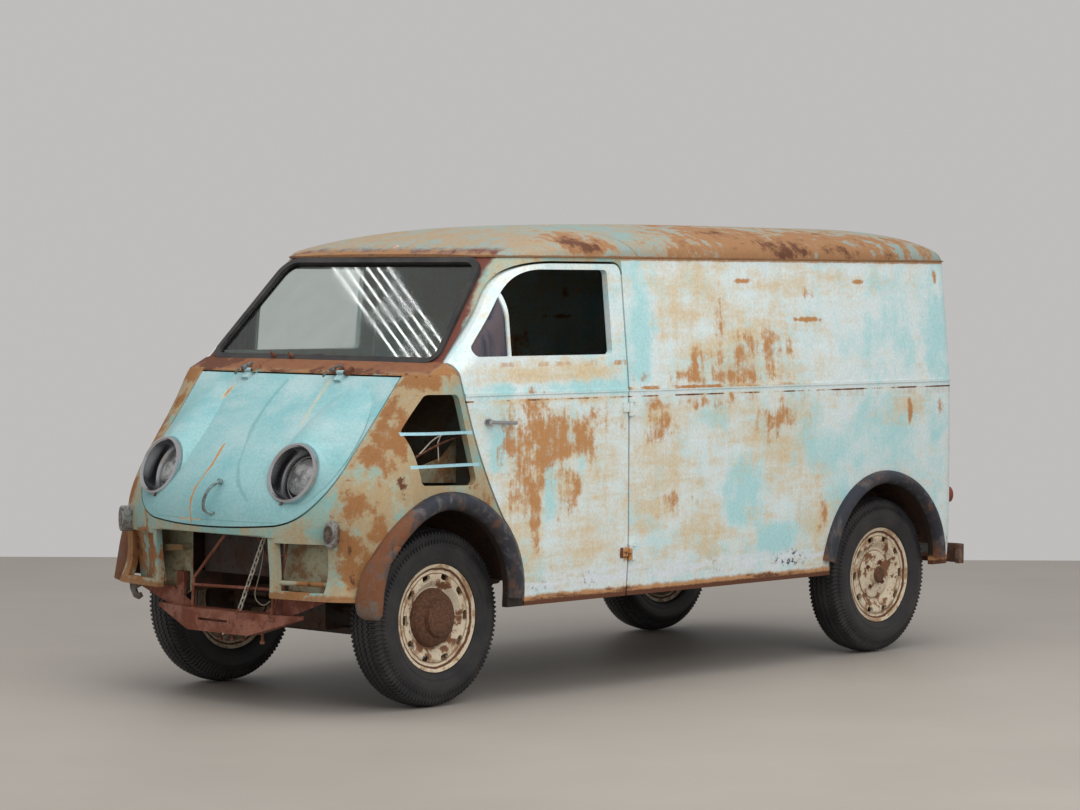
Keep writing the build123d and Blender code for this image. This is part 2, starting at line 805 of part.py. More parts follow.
def steel_wheel(centre_x, centre_y, cap):
    """A pressed wheel with ten oval holes, its drum behind it and its cap in front."""
    with BuildPart() as wheel:
        with BuildSketch(Plane.XY):
            with BuildLine():
                Polyline(*[(out, radius) for radius, out in wheel_profile()], close=True)
            make_face()
        revolve(axis=Axis.X)
        with BuildSketch(Plane.YZ.offset(20.0)):
            with PolarLocations(170.0, 10):
                SlotOverall(44.0, 24.0, rotation=90)
        extrude(amount=80.0, mode=Mode.SUBTRACT)
        with BuildSketch(Plane.XY):
            with BuildLine():
                Polyline(*[(out, radius) for radius, out in cap], close=True)
            make_face()
        revolve(axis=Axis.X)
    placed = wheel.part.moved(Location((centre_x, centre_y, HUB_Z)))
    return placed


FRONT_CAP = [
    (0.0, 36.1),
    (112.0, 36.1),
    (120.0, 44.0),
    (112.0, 62.0),
    (92.0, 76.0),
    (78.0, 80.0),
    (72.0, 98.0),
    (50.0, 104.0),
    (0.0, 108.0),
]
REAR_CAP = [
    (0.0, 36.1),
    (104.0, 36.1),
    (110.0, 42.0),
    (104.0, 46.0),
    (60.0, 48.0),
    (44.0, 52.0),
    (40.0, 72.0),
    (30.0, 82.0),
    (0.0, 84.0),
]


def tyre(centre_x, centre_y):
    """A cross-ply tyre with a rounded tread and full side walls."""
    half = TYRE_WIDTH / 2
    with BuildPart() as casing:
        with BuildSketch(Plane.XY):
            with BuildLine():
                bead = Polyline((-57.8, 203.3), (-65.8, RIM_RADIUS + 0.3), (-72.0, RIM_RADIUS + 0.3))
                wall = Spline(
                    bead @ 1,
                    (-half, 290.0),
                    (-70.0, TYRE_RADIUS - 12.0),
                    tangents=[(-0.6, 1), (0.6, 0.7)],
                )
                tread = ThreePointArc(wall @ 1, (0, TYRE_RADIUS), (70.0, TYRE_RADIUS - 12.0))
                other_wall = Spline(
                    tread @ 1,
                    (half, 290.0),
                    (75.0, RIM_RADIUS + 0.3),
                    tangents=[(0.6, -0.7), (-0.6, -1)],
                )
                Polyline(other_wall @ 1, (67.8, RIM_RADIUS + 0.3), (57.8, 203.3), (-57.8, 203.3))
            make_face()
        revolve(axis=Axis.X)
    return casing.part.moved(Location((centre_x, centre_y, HUB_Z)))


front_left_wheel = steel_wheel(FRONT_TRACK_HALF, FRONT_AXLE_Y, FRONT_CAP)
rear_left_wheel = steel_wheel(REAR_TRACK_HALF, REAR_AXLE_Y, REAR_CAP)
front_left_tyre = tyre(FRONT_TRACK_HALF, FRONT_AXLE_Y)
rear_left_tyre = tyre(REAR_TRACK_HALF, REAR_AXLE_Y)

# ---------------------------------------------------------------- steering knuckles
EAR_LOW_Z = HUB_Z - 101.0
EAR_HIGH_Z = HUB_Z + 39.0
EAR_THICKNESS = 28.0
KINGPIN_RADIUS = 13.0
KNUCKLE_GAP = 1.0

with BuildPart() as left_knuckle:
    low = EAR_LOW_Z + EAR_THICKNESS + KNUCKLE_GAP
    high = EAR_HIGH_Z - KNUCKLE_GAP
    with BuildSketch(Plane.XY.offset(low)):
        with Locations((KINGPIN_X, FRONT_AXLE_Y)):
            Circle(27.0)
    extrude(amount=high - low)
    with BuildSketch(Plane.XY.offset(EAR_LOW_Z - 6.0)):
        with Locations((KINGPIN_X, FRONT_AXLE_Y)):
            Circle(KINGPIN_RADIUS)
    extrude(amount=EAR_HIGH_Z + EAR_THICKNESS - 4.0 - EAR_LOW_Z)
    add(disc_x(KINGPIN_X, FRONT_TRACK_HALF - 48.0, FRONT_AXLE_Y, HUB_Z, 26.0))
    add(disc_x(KINGPIN_X, FRONT_TRACK_HALF + 34.0, FRONT_AXLE_Y, HUB_Z, SPINDLE_RADIUS))
    add(disc_x(FRONT_TRACK_HALF - 60.0, FRONT_TRACK_HALF - 54.0, FRONT_AXLE_Y, HUB_Z, 126.0))
    add(rod((KINGPIN_X, FRONT_AXLE_Y, HUB_Z - 33.0), (KINGPIN_X - 20.0, FRONT_AXLE_Y + 130.0, HUB_Z - 33.0), 11.0))

# ---------------------------------------------------------------- axles
with BuildPart() as front_axle:
    add(block(-KINGPIN_X, KINGPIN_X, FRONT_AXLE_Y - 32, FRONT_AXLE_Y + 32, EAR_HIGH_Z, RAIL_BOTTOM_Z))
    add(block(-KINGPIN_X, KINGPIN_X, FRONT_AXLE_Y - 24, FRONT_AXLE_Y + 24, EAR_LOW_Z, EAR_LOW_Z + EAR_THICKNESS))
    for side in (-1, 1):
        with BuildSketch(Plane.XY.offset(EAR_HIGH_Z)):
            with Locations((side * KINGPIN_X, FRONT_AXLE_Y)):
                Circle(32.0)
        extrude(amount=EAR_THICKNESS)
        with BuildSketch(Plane.XY.offset(EAR_LOW_Z)):
            with Locations((side * KINGPIN_X, FRONT_AXLE_Y)):
                Circle(30.0)
        extrude(amount=EAR_THICKNESS)
        with BuildSketch(Plane.XY.offset(EAR_LOW_Z - 50.0)):
            with Locations((side * KINGPIN_X, FRONT_AXLE_Y)):
                Circle(KINGPIN_RADIUS + RUN_GAP)
        extrude(amount=300.0, mode=Mode.SUBTRACT)
    add(block(-150, 150, FRONT_AXLE_Y - 110, FRONT_AXLE_Y + 110, 270, 420))
    add(disc_x(30.0 - KINGPIN_X, KINGPIN_X - 30.0, FRONT_AXLE_Y, HUB_Z, 18.0))

with BuildPart() as rear_axle:
    add(disc_x(-REAR_TRACK_HALF + 60, REAR_TRACK_HALF - 60, REAR_AXLE_Y, HUB_Z, 32.0))
    add(disc_x(-REAR_TRACK_HALF - 34, REAR_TRACK_HALF + 34, REAR_AXLE_Y, HUB_Z, SPINDLE_RADIUS))
    for side in (-1, 1):
        plate = side * (REAR_TRACK_HALF - 60.0)
        add(disc_x(plate, plate + side * 6.0, REAR_AXLE_Y, HUB_Z, 126.0))
        seat = side * RAIL_X
        add(block(seat - 25, seat + 25, REAR_AXLE_Y - 40, REAR_AXLE_Y + 40, 380, RAIL_BOTTOM_Z))
        add(rod((seat, REAR_AXLE_Y, 350), (seat, REAR_AXLE_Y - 560, 412), 18.0))

# ---------------------------------------------------------------- chassis
RAIL_FRONT_Y = BODY_Y - 400.0
RAIL_REAR_Y = REAR_FACE_Y - WALL - 10.0
CROSS_TUBES = [BODY_Y + 600.0, BODY_Y + 1300.0, BODY_Y + 2150.0, REAR_AXLE_Y + 440.0]

with BuildPart() as chassis_frame:
    for side in (-1, 1):
        centre = side * RAIL_X
        half = RAIL_WIDTH / 2
        add(block(centre - half, centre + half, RAIL_FRONT_Y, RAIL_REAR_Y, RAIL_BOTTOM_Z, FLOOR_Z))
    for y in CROSS_TUBES:
        add(disc_x(-RAIL_X, RAIL_X, y, RAIL_BOTTOM_Z + 40.0, 26.0))


def housing_drum(side, inner_x, y, radius):
    """A solid drum round one wheel, from inside the body outwards."""
    return disc_x(side * inner_x, side * 900.0, y, HOUSING_Z, radius)


HOUSINGS = [
    (FRONT_AXLE_Y - 16.0, 450.0, HOUSING_X),
    (REAR_AXLE_Y - 45.0, 432.0, 540.0),
]

with BuildPart() as wheel_housings:
    for centre_y, radius, inner_x in HOUSINGS:
        for side in (-1, 1):
            add(housing_drum(side, inner_x - SHEET, centre_y, radius))
    for centre_y, radius, inner_x in HOUSINGS:
        for side in (-1, 1):
            add(housing_drum(side, inner_x, centre_y, radius - SHEET), mode=Mode.SUBTRACT)
    add(cavity.part, mode=Mode.INTERSECT)
    add(block(-1000, 1000, -3000, 3000, 476.0, 2000), mode=Mode.INTERSECT)

FIREWALL_Y = BODY_Y + 270.0
LOAD_BOARD = 8.0

with BuildPart() as floor_pan:
    add(block(-1000, 1000, FIREWALL_Y, REAR_FACE_Y, FLOOR_Z, FLOOR_Z + FLOOR_THICKNESS))
    add(cavity.part, mode=Mode.INTERSECT)
    cab_edge = 752.0
    for side in (-1, 1):
        sill = block(side * cab_edge, side * 900, BODY_Y, split_y, 400, 600)
        add(sill, mode=Mode.SUBTRACT)
    add(block(-745, 745, FIREWALL_Y, FIREWALL_Y + 20, FLOOR_Z, 1290))
    add(block(-560, 560, BODY_Y + 600, BODY_Y + 1010, FLOOR_Z, 700))
    top = FLOOR_Z + FLOOR_THICKNESS
    add(block(-500, 500, BODY_Y + 1220, REAR_FACE_Y - 110, top - 2, top + LOAD_BOARD))
    for centre_y, radius, inner_x in HOUSINGS:
        for side in (-1, 1):
            add(housing_drum(side, inner_x - SHEET, centre_y, radius), mode=Mode.SUBTRACT)

# ---------------------------------------------------------------- cab
def cushion(x_size, y_size, z_size, centre, radius):
    """A plain upholstered cushion with soft edges."""
    with BuildPart() as pad:
        with Locations(centre):
            Box(x_size, y_size, z_size)
        fillet(pad.edges(), radius=radius)
    return pad.part


with BuildPart() as bench_seat:
    add(cushion(1180.0, 480.0, 150.0, (0, BODY_Y + 800.0, 775.0), 40.0))
    add(cushion(1180.0, 110.0, 560.0, (0, BODY_Y + 1040.0, 1000.0), 40.0))

with BuildPart() as dashboard:
    with BuildSketch(Plane.YZ.offset(-700.0)):
        with BuildLine():
            Polyline(
                (FIREWALL_Y - 110.0, 1362.0),
                (FIREWALL_Y + 30.0, 1352.0),
                (FIREWALL_Y + 60.0, 1320.0),
                (FIREWALL_Y + 50.0, 1240.0),
                (FIREWALL_Y + 20.0, 1230.0),
                (FIREWALL_Y + 20.0, 1290.0),
                (FIREWALL_Y - 80.0, 1290.0),
                close=True,
            )
        make_face()
    extrude(amount=1400.0)

STEER_X = 290.0
STEER_TOP = (STEER_X, BODY_Y + 565.0, 1215.0)
STEER_FOOT = (STEER_X, BODY_Y + 330.0, FLOOR_Z + FLOOR_THICKNESS)
STEER_DIRECTION = (Vector(*STEER_TOP) - Vector(*STEER_FOOT)).normalized()

with BuildPart() as steering_column:
    add(rod(STEER_FOOT, STEER_TOP, 20.0))
    add(block(0, 900, -2000, 0, 300, FLOOR_Z + FLOOR_THICKNESS), mode=Mode.SUBTRACT)

with BuildPart() as steering_wheel:
    hub_place = Vector(*STEER_TOP) + STEER_DIRECTION * 0.3
    hub_plane = Plane(origin=hub_place, x_dir=(1, 0, 0), z_dir=STEER_DIRECTION)
    with BuildSketch(hub_plane):
        Circle(30.0)
    extrude(amount=36.0)
    with BuildSketch(Plane(origin=hub_place + STEER_DIRECTION * 40.0, x_dir=(1, 0, 0), z_dir=hub_plane.y_dir)):
        with Locations((205.0, 0)):
            Circle(12.0)
    revolve(axis=Axis(hub_place, STEER_DIRECTION))
    for turn in (0, 120, 240):
        angle = math.radians(turn + 90)
        along = hub_plane.x_dir * math.cos(angle) + hub_plane.y_dir * math.sin(angle)
        start = hub_place + STEER_DIRECTION * 24.0
        end = hub_place + STEER_DIRECTION * 40.0 + along * 204.0
        add(rod(tuple(start), tuple(end), 7.0))

with BuildPart() as engine:
    add(block(-240, 240, BODY_Y - 330, BODY_Y + 60, FLOOR_Z, 860))
    add(block(-320, 320, BODY_Y - 200, BODY_Y - 60, FLOOR_Z, 560))

# ---------------------------------------------------------------- nose pieces
with BuildPart() as front_crossmember:
    with BuildSketch(Plane(origin=(0, BODY_Y - 395, 0), x_dir=(1, 0, 0), z_dir=(0, -1, 0))):
        with BuildLine():
            Polyline((-430, 373), (430, 373), (430, 358), (182, 282), (-182, 282), (-430, 358), close=True)
        make_face()
    extrude(amount=80.0)
    for side in (-1, 1):
        with BuildSketch(Plane.XY.offset(200.0)):
            with BuildLine():
                Polyline(
                    (side * 186, BODY_Y - 476),
                    (side * 460, BODY_Y - 412),
                    (side * 460, BODY_Y - 520),
                    (side * 186, BODY_Y - 520),
                    close=True,
                )
            make_face()
        extrude(amount=300.0, mode=Mode.SUBTRACT)
    add(block(-120, 60, BODY_Y - 500, BODY_Y - 455, 326, 336), mode=Mode.SUBTRACT)
    add(foot_eye.part)
    for side in (-1, 1):
        centre = side * RAIL_X
        add(block(centre - 22, centre + 22, BODY_Y - 412, BODY_Y - 400, 360, FLOOR_Z))

GUSSET = [(206, 373), (380, 373), (590, 446), (352, 446)]
with BuildPart() as gusset:
    with BuildSketch(Plane(origin=(0, BODY_Y - 404, 0), x_dir=(1, 0, 0), z_dir=(0, -1, 0))):
        with BuildLine():
            Polyline(*GUSSET, close=True)
        make_face()
    extrude(amount=6.0)
BRACES = [
    ((34, 696), (-174, 492)),
    ((-174, 494), (-183, 373)),
    ((211, 696), (307, 552)),
    ((333, 696), (299, 373)),
    ((-183, 465), (303, 475)),
]
with BuildPart() as brace_rods:
    for (x0, z0), (x1, z1) in BRACES:
        add(rod((x0, ROD_Y, z0), (x1, ROD_Y, z1), 6.5))
    add(block(-400, 400, ROD_Y - 20, ROD_Y + 20, 300, CROSSMEMBER_TOP_Z), mode=Mode.SUBTRACT)
    add(block(-400, 400, ROD_Y - 20, ROD_Y + 20, FLANGE_Z, 760), mode=Mode.SUBTRACT)

with BuildPart() as crossmember_all:
    add(front_crossmember.part)
    add(gusset.part)
    add(other_side(gusset.part))

# ---------------------------------------------------------------- rear pieces
BUMPER_LOW = 372.0
BUMPER_TOP = 462.0
with BuildPart() as rear_bumper:
    with BuildSketch(Plane.XY.offset(BUMPER_LOW)):
        with BuildLine():
            FilletPolyline(
                (-790, REAR_FACE_Y + 10),
                (-790, REAR_FACE_Y + 72),
                (790, REAR_FACE_Y + 72),
                (790, REAR_FACE_Y + 10),
                radius=45.0,
            )
        trace(line_width=24.0)
    extrude(amount=BUMPER_TOP - BUMPER_LOW)
    for side in (-1, 1):
        centre = side * RAIL_X
        add(block(centre - 25, centre + 25, REAR_FACE_Y - 200, REAR_FACE_Y + 70, BUMPER_LOW - 8, BUMPER_LOW + 2))
        add(block(centre - 25, centre + 25, REAR_FACE_Y - 200, REAR_FACE_Y - 140, BUMPER_LOW - 8, RAIL_BOTTOM_Z))


# ---------------------------------------------------------------- wheel arch lips
LIP_POINTS = 9


def side_x(y, z):
    """Half width of the body at one place on its side, between its sections."""
    nose, side, sweep, corner = lower_section(z)
    ahead = max(BODY_Y - nose + sweep + corner - y, 0.0)
    return side - corner + math.sqrt(max(corner**2 - ahead**2, 0.0))


def arch_lip(centre_y, centre_z, long, tall, width, start, end):
    """A rolled lip that follows a wheel arch over the curve of the body side."""
    points = []
    for step in range(LIP_POINTS + 1):
        turn = math.radians(start + (end - start) * step / LIP_POINTS)
        y = centre_y + (long + width / 2) * math.cos(turn)
        z = centre_z + (tall + width / 2) * math.sin(turn)
        points.append((side_x(y, z), y, z))
    with BuildPart() as lip:
        with BuildLine() as path:
            Spline(*points)
        with BuildSketch(Plane(origin=path.line @ 0, x_dir=(1, 0, 0), z_dir=path.line % 0)):
            Ellipse(LIP_REACH, width / 2)
        sweep(path=path.line)
        add(lower_outer, mode=Mode.SUBTRACT)
    return lip.part


front_lip = arch_lip(*FRONT_ARCH, FRONT_LIP_WIDTH, 0.0, 177.0)
rear_lip = arch_lip(*REAR_ARCH, REAR_LIP_WIDTH, 4.0, 172.0)
with BuildPart() as wheel_arch_lips:
    for lip in (front_lip, rear_lip):
        add(lip)
        add(other_side(lip))

# ---------------------------------------------------------------- lamps and handles
lamp_unit = lamp_turned(
    [
        (0.0, -118.0),
        (60.0, -112.0),
        (98.0, -92.0),
        (LAMP_HOLE - 1.0, -60.0),
        (LAMP_HOLE, 2.0),
        (126.0, 4.0),
        (124.0, 18.0),
        (114.0, 22.0),
        (108.0, 14.0),
        (108.0, -56.0),
        (96.0, -74.0),
        (60.0, -62.0),
        (0.0, -54.0),
    ]
)
with BuildPart() as left_headlight:
    add(lamp_unit)
    add(hood.part, mode=Mode.SUBTRACT)
with BuildPart() as headlights:
    add(left_headlight.part.solids().sort_by(SortBy.VOLUME)[-1])
    mirror(about=Plane.YZ)

with BuildPart() as hood_handle:
    with BuildLine() as grip_path:
        FilletPolyline(
            (0, BODY_Y - 470, 880),
            (0, BODY_Y - 556, 862),
            (0, BODY_Y - 578, 800),
            (0, BODY_Y - 520, 775),
            radius=20.0,
        )
    with BuildSketch(Plane(origin=grip_path.line @ 0, z_dir=grip_path.line % 0)):
        Circle(7.0)
    sweep(path=grip_path.wire())
    add(lower_outer, mode=Mode.SUBTRACT)

HANDLE_Z = 1140.0
HANDLE_FRONT_Y = BODY_Y + 262.0
with BuildPart() as left_door_handle:
    with BuildSketch(Plane.YZ.offset(790.0)):
        with Locations((HANDLE_FRONT_Y + 12.0, HANDLE_Z)):
            Ellipse(22.0, 15.0)
    extrude(amount=18.0)
    add(rod((795, HANDLE_FRONT_Y + 12.0, HANDLE_Z), (834, HANDLE_FRONT_Y + 12.0, HANDLE_Z), 9.0))
    add(rod((828, HANDLE_FRONT_Y, HANDLE_Z), (828, HANDLE_FRONT_Y + 150.0, HANDLE_Z - 6.0), 8.0))
    add(lower_outer, mode=Mode.SUBTRACT)

with BuildPart() as rear_door_handle:
    handle_y = REAR_FACE_Y
    add(rod((-360, handle_y - 8, 1080), (-360, handle_y + 34, 1080), 9.0))
    add(rod((-368, handle_y + 30, 1080), (-250, handle_y + 30, 1080), 8.0))
    add(lower_outer, mode=Mode.SUBTRACT)

SIGNAL_X = 606.0
SIGNAL_Z = 712.0
with BuildPart() as turn_signal:
    signal_plane = Plane(origin=(SIGNAL_X, BODY_Y - 376.0, SIGNAL_Z), x_dir=(0.934, 0.357, 0), z_dir=(0.357, -0.934, 0))
    with BuildSketch(signal_plane):
        Ellipse(27.0, 54.0)
    extrude(amount=85.0)
    fillet(turn_signal.faces().sort_by(Axis.Y)[0].edges(), radius=10.0)
    add(lower_outer, mode=Mode.SUBTRACT)
turn_signals = both_sides(turn_signal.part)

with BuildPart() as rear_lamp:
    lamp_plane = Plane(origin=(700.0, REAR_FACE_Y - 60.0, 700.0), z_dir=(0.35, 0.94, 0))
    with BuildSketch(lamp_plane):
        Circle(38.0)
    extrude(amount=86.0)
    add(lower_outer, mode=Mode.SUBTRACT)
rear_lamps = both_sides(rear_lamp.part)

EXHAUST_Y = BODY_Y + 800.0
with BuildPart() as exhaust:
    add(rod((-150, EXHAUST_Y, 372), (-150, EXHAUST_Y + 420, 372), 56.0))
    with BuildLine() as tail:
        FilletPolyline(
            (-150, EXHAUST_Y + 420, 372),
            (-150, EXHAUST_Y + 520, 372),
            (-400, EXHAUST_Y + 760, 352),
            (-400, EXHAUST_Y + 1180, 352),
            radius=80.0,
        )
    with BuildSketch(Plane(origin=tail.line @ 0, z_dir=tail.line % 0)):
        Circle(17.0)
    sweep(path=tail.wire())
    add(block(-156, -144, EXHAUST_Y + 200, EXHAUST_Y + 230, 420, FLOOR_Z))

keep(left_door_leaf.part, "left_door")
keep(other_side(left_door_leaf.part), "right_door")
keep(windscreen.part, "windscreen")
keep(windscreen_seal.part, "windscreen_seal")
keep(left_vent_glass.part, "left_vent_glass")
keep(other_side(left_vent_glass.part), "right_vent_glass")
keep(rear_window.part, "rear_window")
keep(front_left_wheel, "front_left_wheel")
keep(other_side(front_left_wheel), "front_right_wheel")
keep(rear_left_wheel, "rear_left_wheel")
keep(other_side(rear_left_wheel), "rear_right_wheel")
keep(front_left_tyre, "front_left_tyre")
keep(other_side(front_left_tyre), "front_right_tyre")
keep(rear_left_tyre, "rear_left_tyre")
keep(other_side(rear_left_tyre), "rear_right_tyre")
keep(left_knuckle.part, "left_knuckle")
keep(other_side(left_knuckle.part), "right_knuckle")
keep(front_axle.part, "front_axle")
keep(rear_axle.part, "rear_axle")
keep(chassis_frame.part, "chassis_frame")
keep(wheel_housings.part, "wheel_housings")
keep(floor_pan.part, "floor_pan")
keep(bench_seat.part, "bench_seat")
keep(dashboard.part, "dashboard")
keep(steering_column.part, "steering_column")
keep(steering_wheel.part, "steering_wheel")
keep(engine.part, "engine")
keep(crossmember_all.part, "front_crossmember")
keep(brace_rods.part, "brace_rods")
keep(rear_bumper.part, "rear_bumper")
keep(wheel_arch_lips.part, "wheel_arch_lips")
keep(front_chain.part, "front_chain")
keep(headlights.part, "headlights")
keep(hood_handle.part, "hood_handle")
keep(left_door_handle.part, "left_door_handle")
keep(other_side(left_door_handle.part), "right_door_handle")
keep(rear_door_handle.part, "rear_door_handle")
keep(turn_signals, "turn_signals")
keep(rear_lamps, "rear_lamps")
keep(exhaust.part, "exhaust")
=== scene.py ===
"""The looks of a weathered forward-control delivery van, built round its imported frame.

Metres, +Z up, the nose towards -Y and the van's left side towards +X. Places are measured from the body's
datum, which lies a little ahead of the front axle.
"""

import math

import bmesh
import bpy
from mathutils import Matrix, Vector


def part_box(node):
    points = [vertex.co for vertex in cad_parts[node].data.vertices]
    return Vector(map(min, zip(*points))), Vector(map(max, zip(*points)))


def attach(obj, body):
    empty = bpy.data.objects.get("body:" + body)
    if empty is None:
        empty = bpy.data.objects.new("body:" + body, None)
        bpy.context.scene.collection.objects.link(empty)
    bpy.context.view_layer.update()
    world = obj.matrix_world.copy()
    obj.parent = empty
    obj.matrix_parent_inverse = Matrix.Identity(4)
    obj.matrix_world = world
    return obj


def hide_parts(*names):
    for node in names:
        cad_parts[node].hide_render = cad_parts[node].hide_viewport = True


bl_info = {
    "name": "Weathered delivery van",
    "version": (1, 0, 0),
    "blender": (4, 5, 0),
    "location": "View3D > Sidebar > Van",
    "description": "Finishes, tyres, trim and studio of a weathered delivery van",
    "category": "Object",
}

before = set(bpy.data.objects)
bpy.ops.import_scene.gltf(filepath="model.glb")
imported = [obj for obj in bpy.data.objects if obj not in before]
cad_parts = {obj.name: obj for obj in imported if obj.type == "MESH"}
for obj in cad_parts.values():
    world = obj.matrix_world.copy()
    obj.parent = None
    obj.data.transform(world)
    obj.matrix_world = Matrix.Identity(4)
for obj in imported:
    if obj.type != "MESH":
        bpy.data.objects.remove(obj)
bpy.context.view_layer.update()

FRONT_WHEEL_LOW, FRONT_WHEEL_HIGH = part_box("front_left_wheel")
REAR_WHEEL_LOW, REAR_WHEEL_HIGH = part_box("rear_left_wheel")
WHEEL_Z = (FRONT_WHEEL_LOW.z + FRONT_WHEEL_HIGH.z) / 2
AXLE_Y = (FRONT_WHEEL_LOW.y + FRONT_WHEEL_HIGH.y) / 2
REAR_AXLE_Y = (REAR_WHEEL_LOW.y + REAR_WHEEL_HIGH.y) / 2
DATUM_AHEAD = 0.096
BODY_Y = AXLE_Y - DATUM_AHEAD
LIFT = 0.014
DRIP_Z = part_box("roof")[0].z
SCREEN_LOW, SCREEN_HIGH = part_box("windscreen")
BELT_Z = 1.266
DOOR_REAR_Y = BODY_Y + 1.130
SILL_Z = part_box("body_shell")[0].z


def tint(red, green, blue):
    """A colour from 0 to 255 values, as the shader's linear numbers."""
    return tuple((value / 255.0) ** 2.2 for value in (red, green, blue))


def solid(colour):
    """A colour with full alpha, for a shader socket."""
    return (*colour[:3], 1.0)


def rgba(red, green, blue):
    """A shader socket's colour from 0 to 255 values."""
    return solid(tint(red, green, blue))


def shaded(colour, share):
    """A colour made darker or lighter by a share, for a shader socket."""
    return solid(tuple(value * share for value in colour))


# ---------------------------------------------------------------- settings
class VanPaintSettings(bpy.types.PropertyGroup):
    """Colours and wear of the painted panels."""

    turquoise: bpy.props.FloatVectorProperty(
        name="Turquoise",
        description="The van's own paint where it is sound",
        subtype="COLOR",
        size=3,
        default=tint(168, 210, 212),
    )
    faded: bpy.props.FloatVectorProperty(
        name="Faded paint",
        description="The paint where sun and washing have bleached it",
        subtype="COLOR",
        size=3,
        default=tint(210, 222, 222),
    )
    stain: bpy.props.FloatVectorProperty(
        name="Rust stain",
        description="Thin rust bleeding over the paint",
        subtype="COLOR",
        size=3,
        default=tint(206, 184, 144),
    )
    rust: bpy.props.FloatVectorProperty(
        name="Rust",
        description="Bare rust of the panels",
        subtype="COLOR",
        size=3,
        default=tint(180, 132, 88),
    )
    old_rust: bpy.props.FloatVectorProperty(
        name="Old rust",
        description="Deep brown rust in the cores and seams",
        subtype="COLOR",
        size=3,
        default=tint(96, 64, 50),
    )
    primer: bpy.props.FloatVectorProperty(
        name="Red primer",
        description="Red primer round the windscreen",
        subtype="COLOR",
        size=3,
        default=tint(104, 60, 50),
    )


class VanTyreSettings(bpy.types.PropertyGroup):
    """Sizes of the tyres' tread."""

    lugs: bpy.props.IntProperty(
        name="Shoulder lugs",
        description="Blocks round each shoulder of a tyre",
        default=112,
        min=12,
        max=160,
    )
    groove_depth: bpy.props.FloatProperty(
        name="Groove depth",
        description="Depth of the zigzag grooves",
        default=0.007,
        min=0.001,
        max=0.015,
        unit="LENGTH",
    )
    groove_width: bpy.props.FloatProperty(
        name="Groove width",
        description="Width of the zigzag grooves",
        default=0.006,
        min=0.002,
        max=0.012,
        unit="LENGTH",
    )


class VanStageSettings(bpy.types.PropertyGroup):
    """Camera, light and floor."""

    camera_place: bpy.props.FloatVectorProperty(
        name="Camera place",
        description="Where the camera stands, from the floor under the body's datum",
        subtype="TRANSLATION",
        size=3,
        default=(10.005, -9.270, 1.7165),
    )
    camera_turn: bpy.props.FloatProperty(
        name="Camera turn",
        description="Turn of the camera about the vertical",
        subtype="ANGLE",
        default=0.75142,
    )
    camera_drop: bpy.props.FloatProperty(
        name="Camera drop",
        description="How far the camera looks below the horizon",
        subtype="ANGLE",
        default=0.0371,
    )
    camera_roll: bpy.props.FloatProperty(
        name="Camera roll",
        description="Roll of the camera about its own line of sight",
        subtype="ANGLE",
        default=0.00364,
    )
    lens: bpy.props.FloatProperty(
        name="Lens",
        description="Focal length on a frame 36 mm wide",
        default=109.276,
    )
    floor_colour: bpy.props.FloatVectorProperty(
        name="Floor",
        description="Colour of the floor",
        subtype="COLOR",
        size=3,
        default=tint(162, 155, 147),
    )
    wall_colour: bpy.props.FloatVectorProperty(
        name="Background",
        description="Colour behind the van",
        subtype="COLOR",
        size=3,
        default=tint(190, 188, 187),
    )


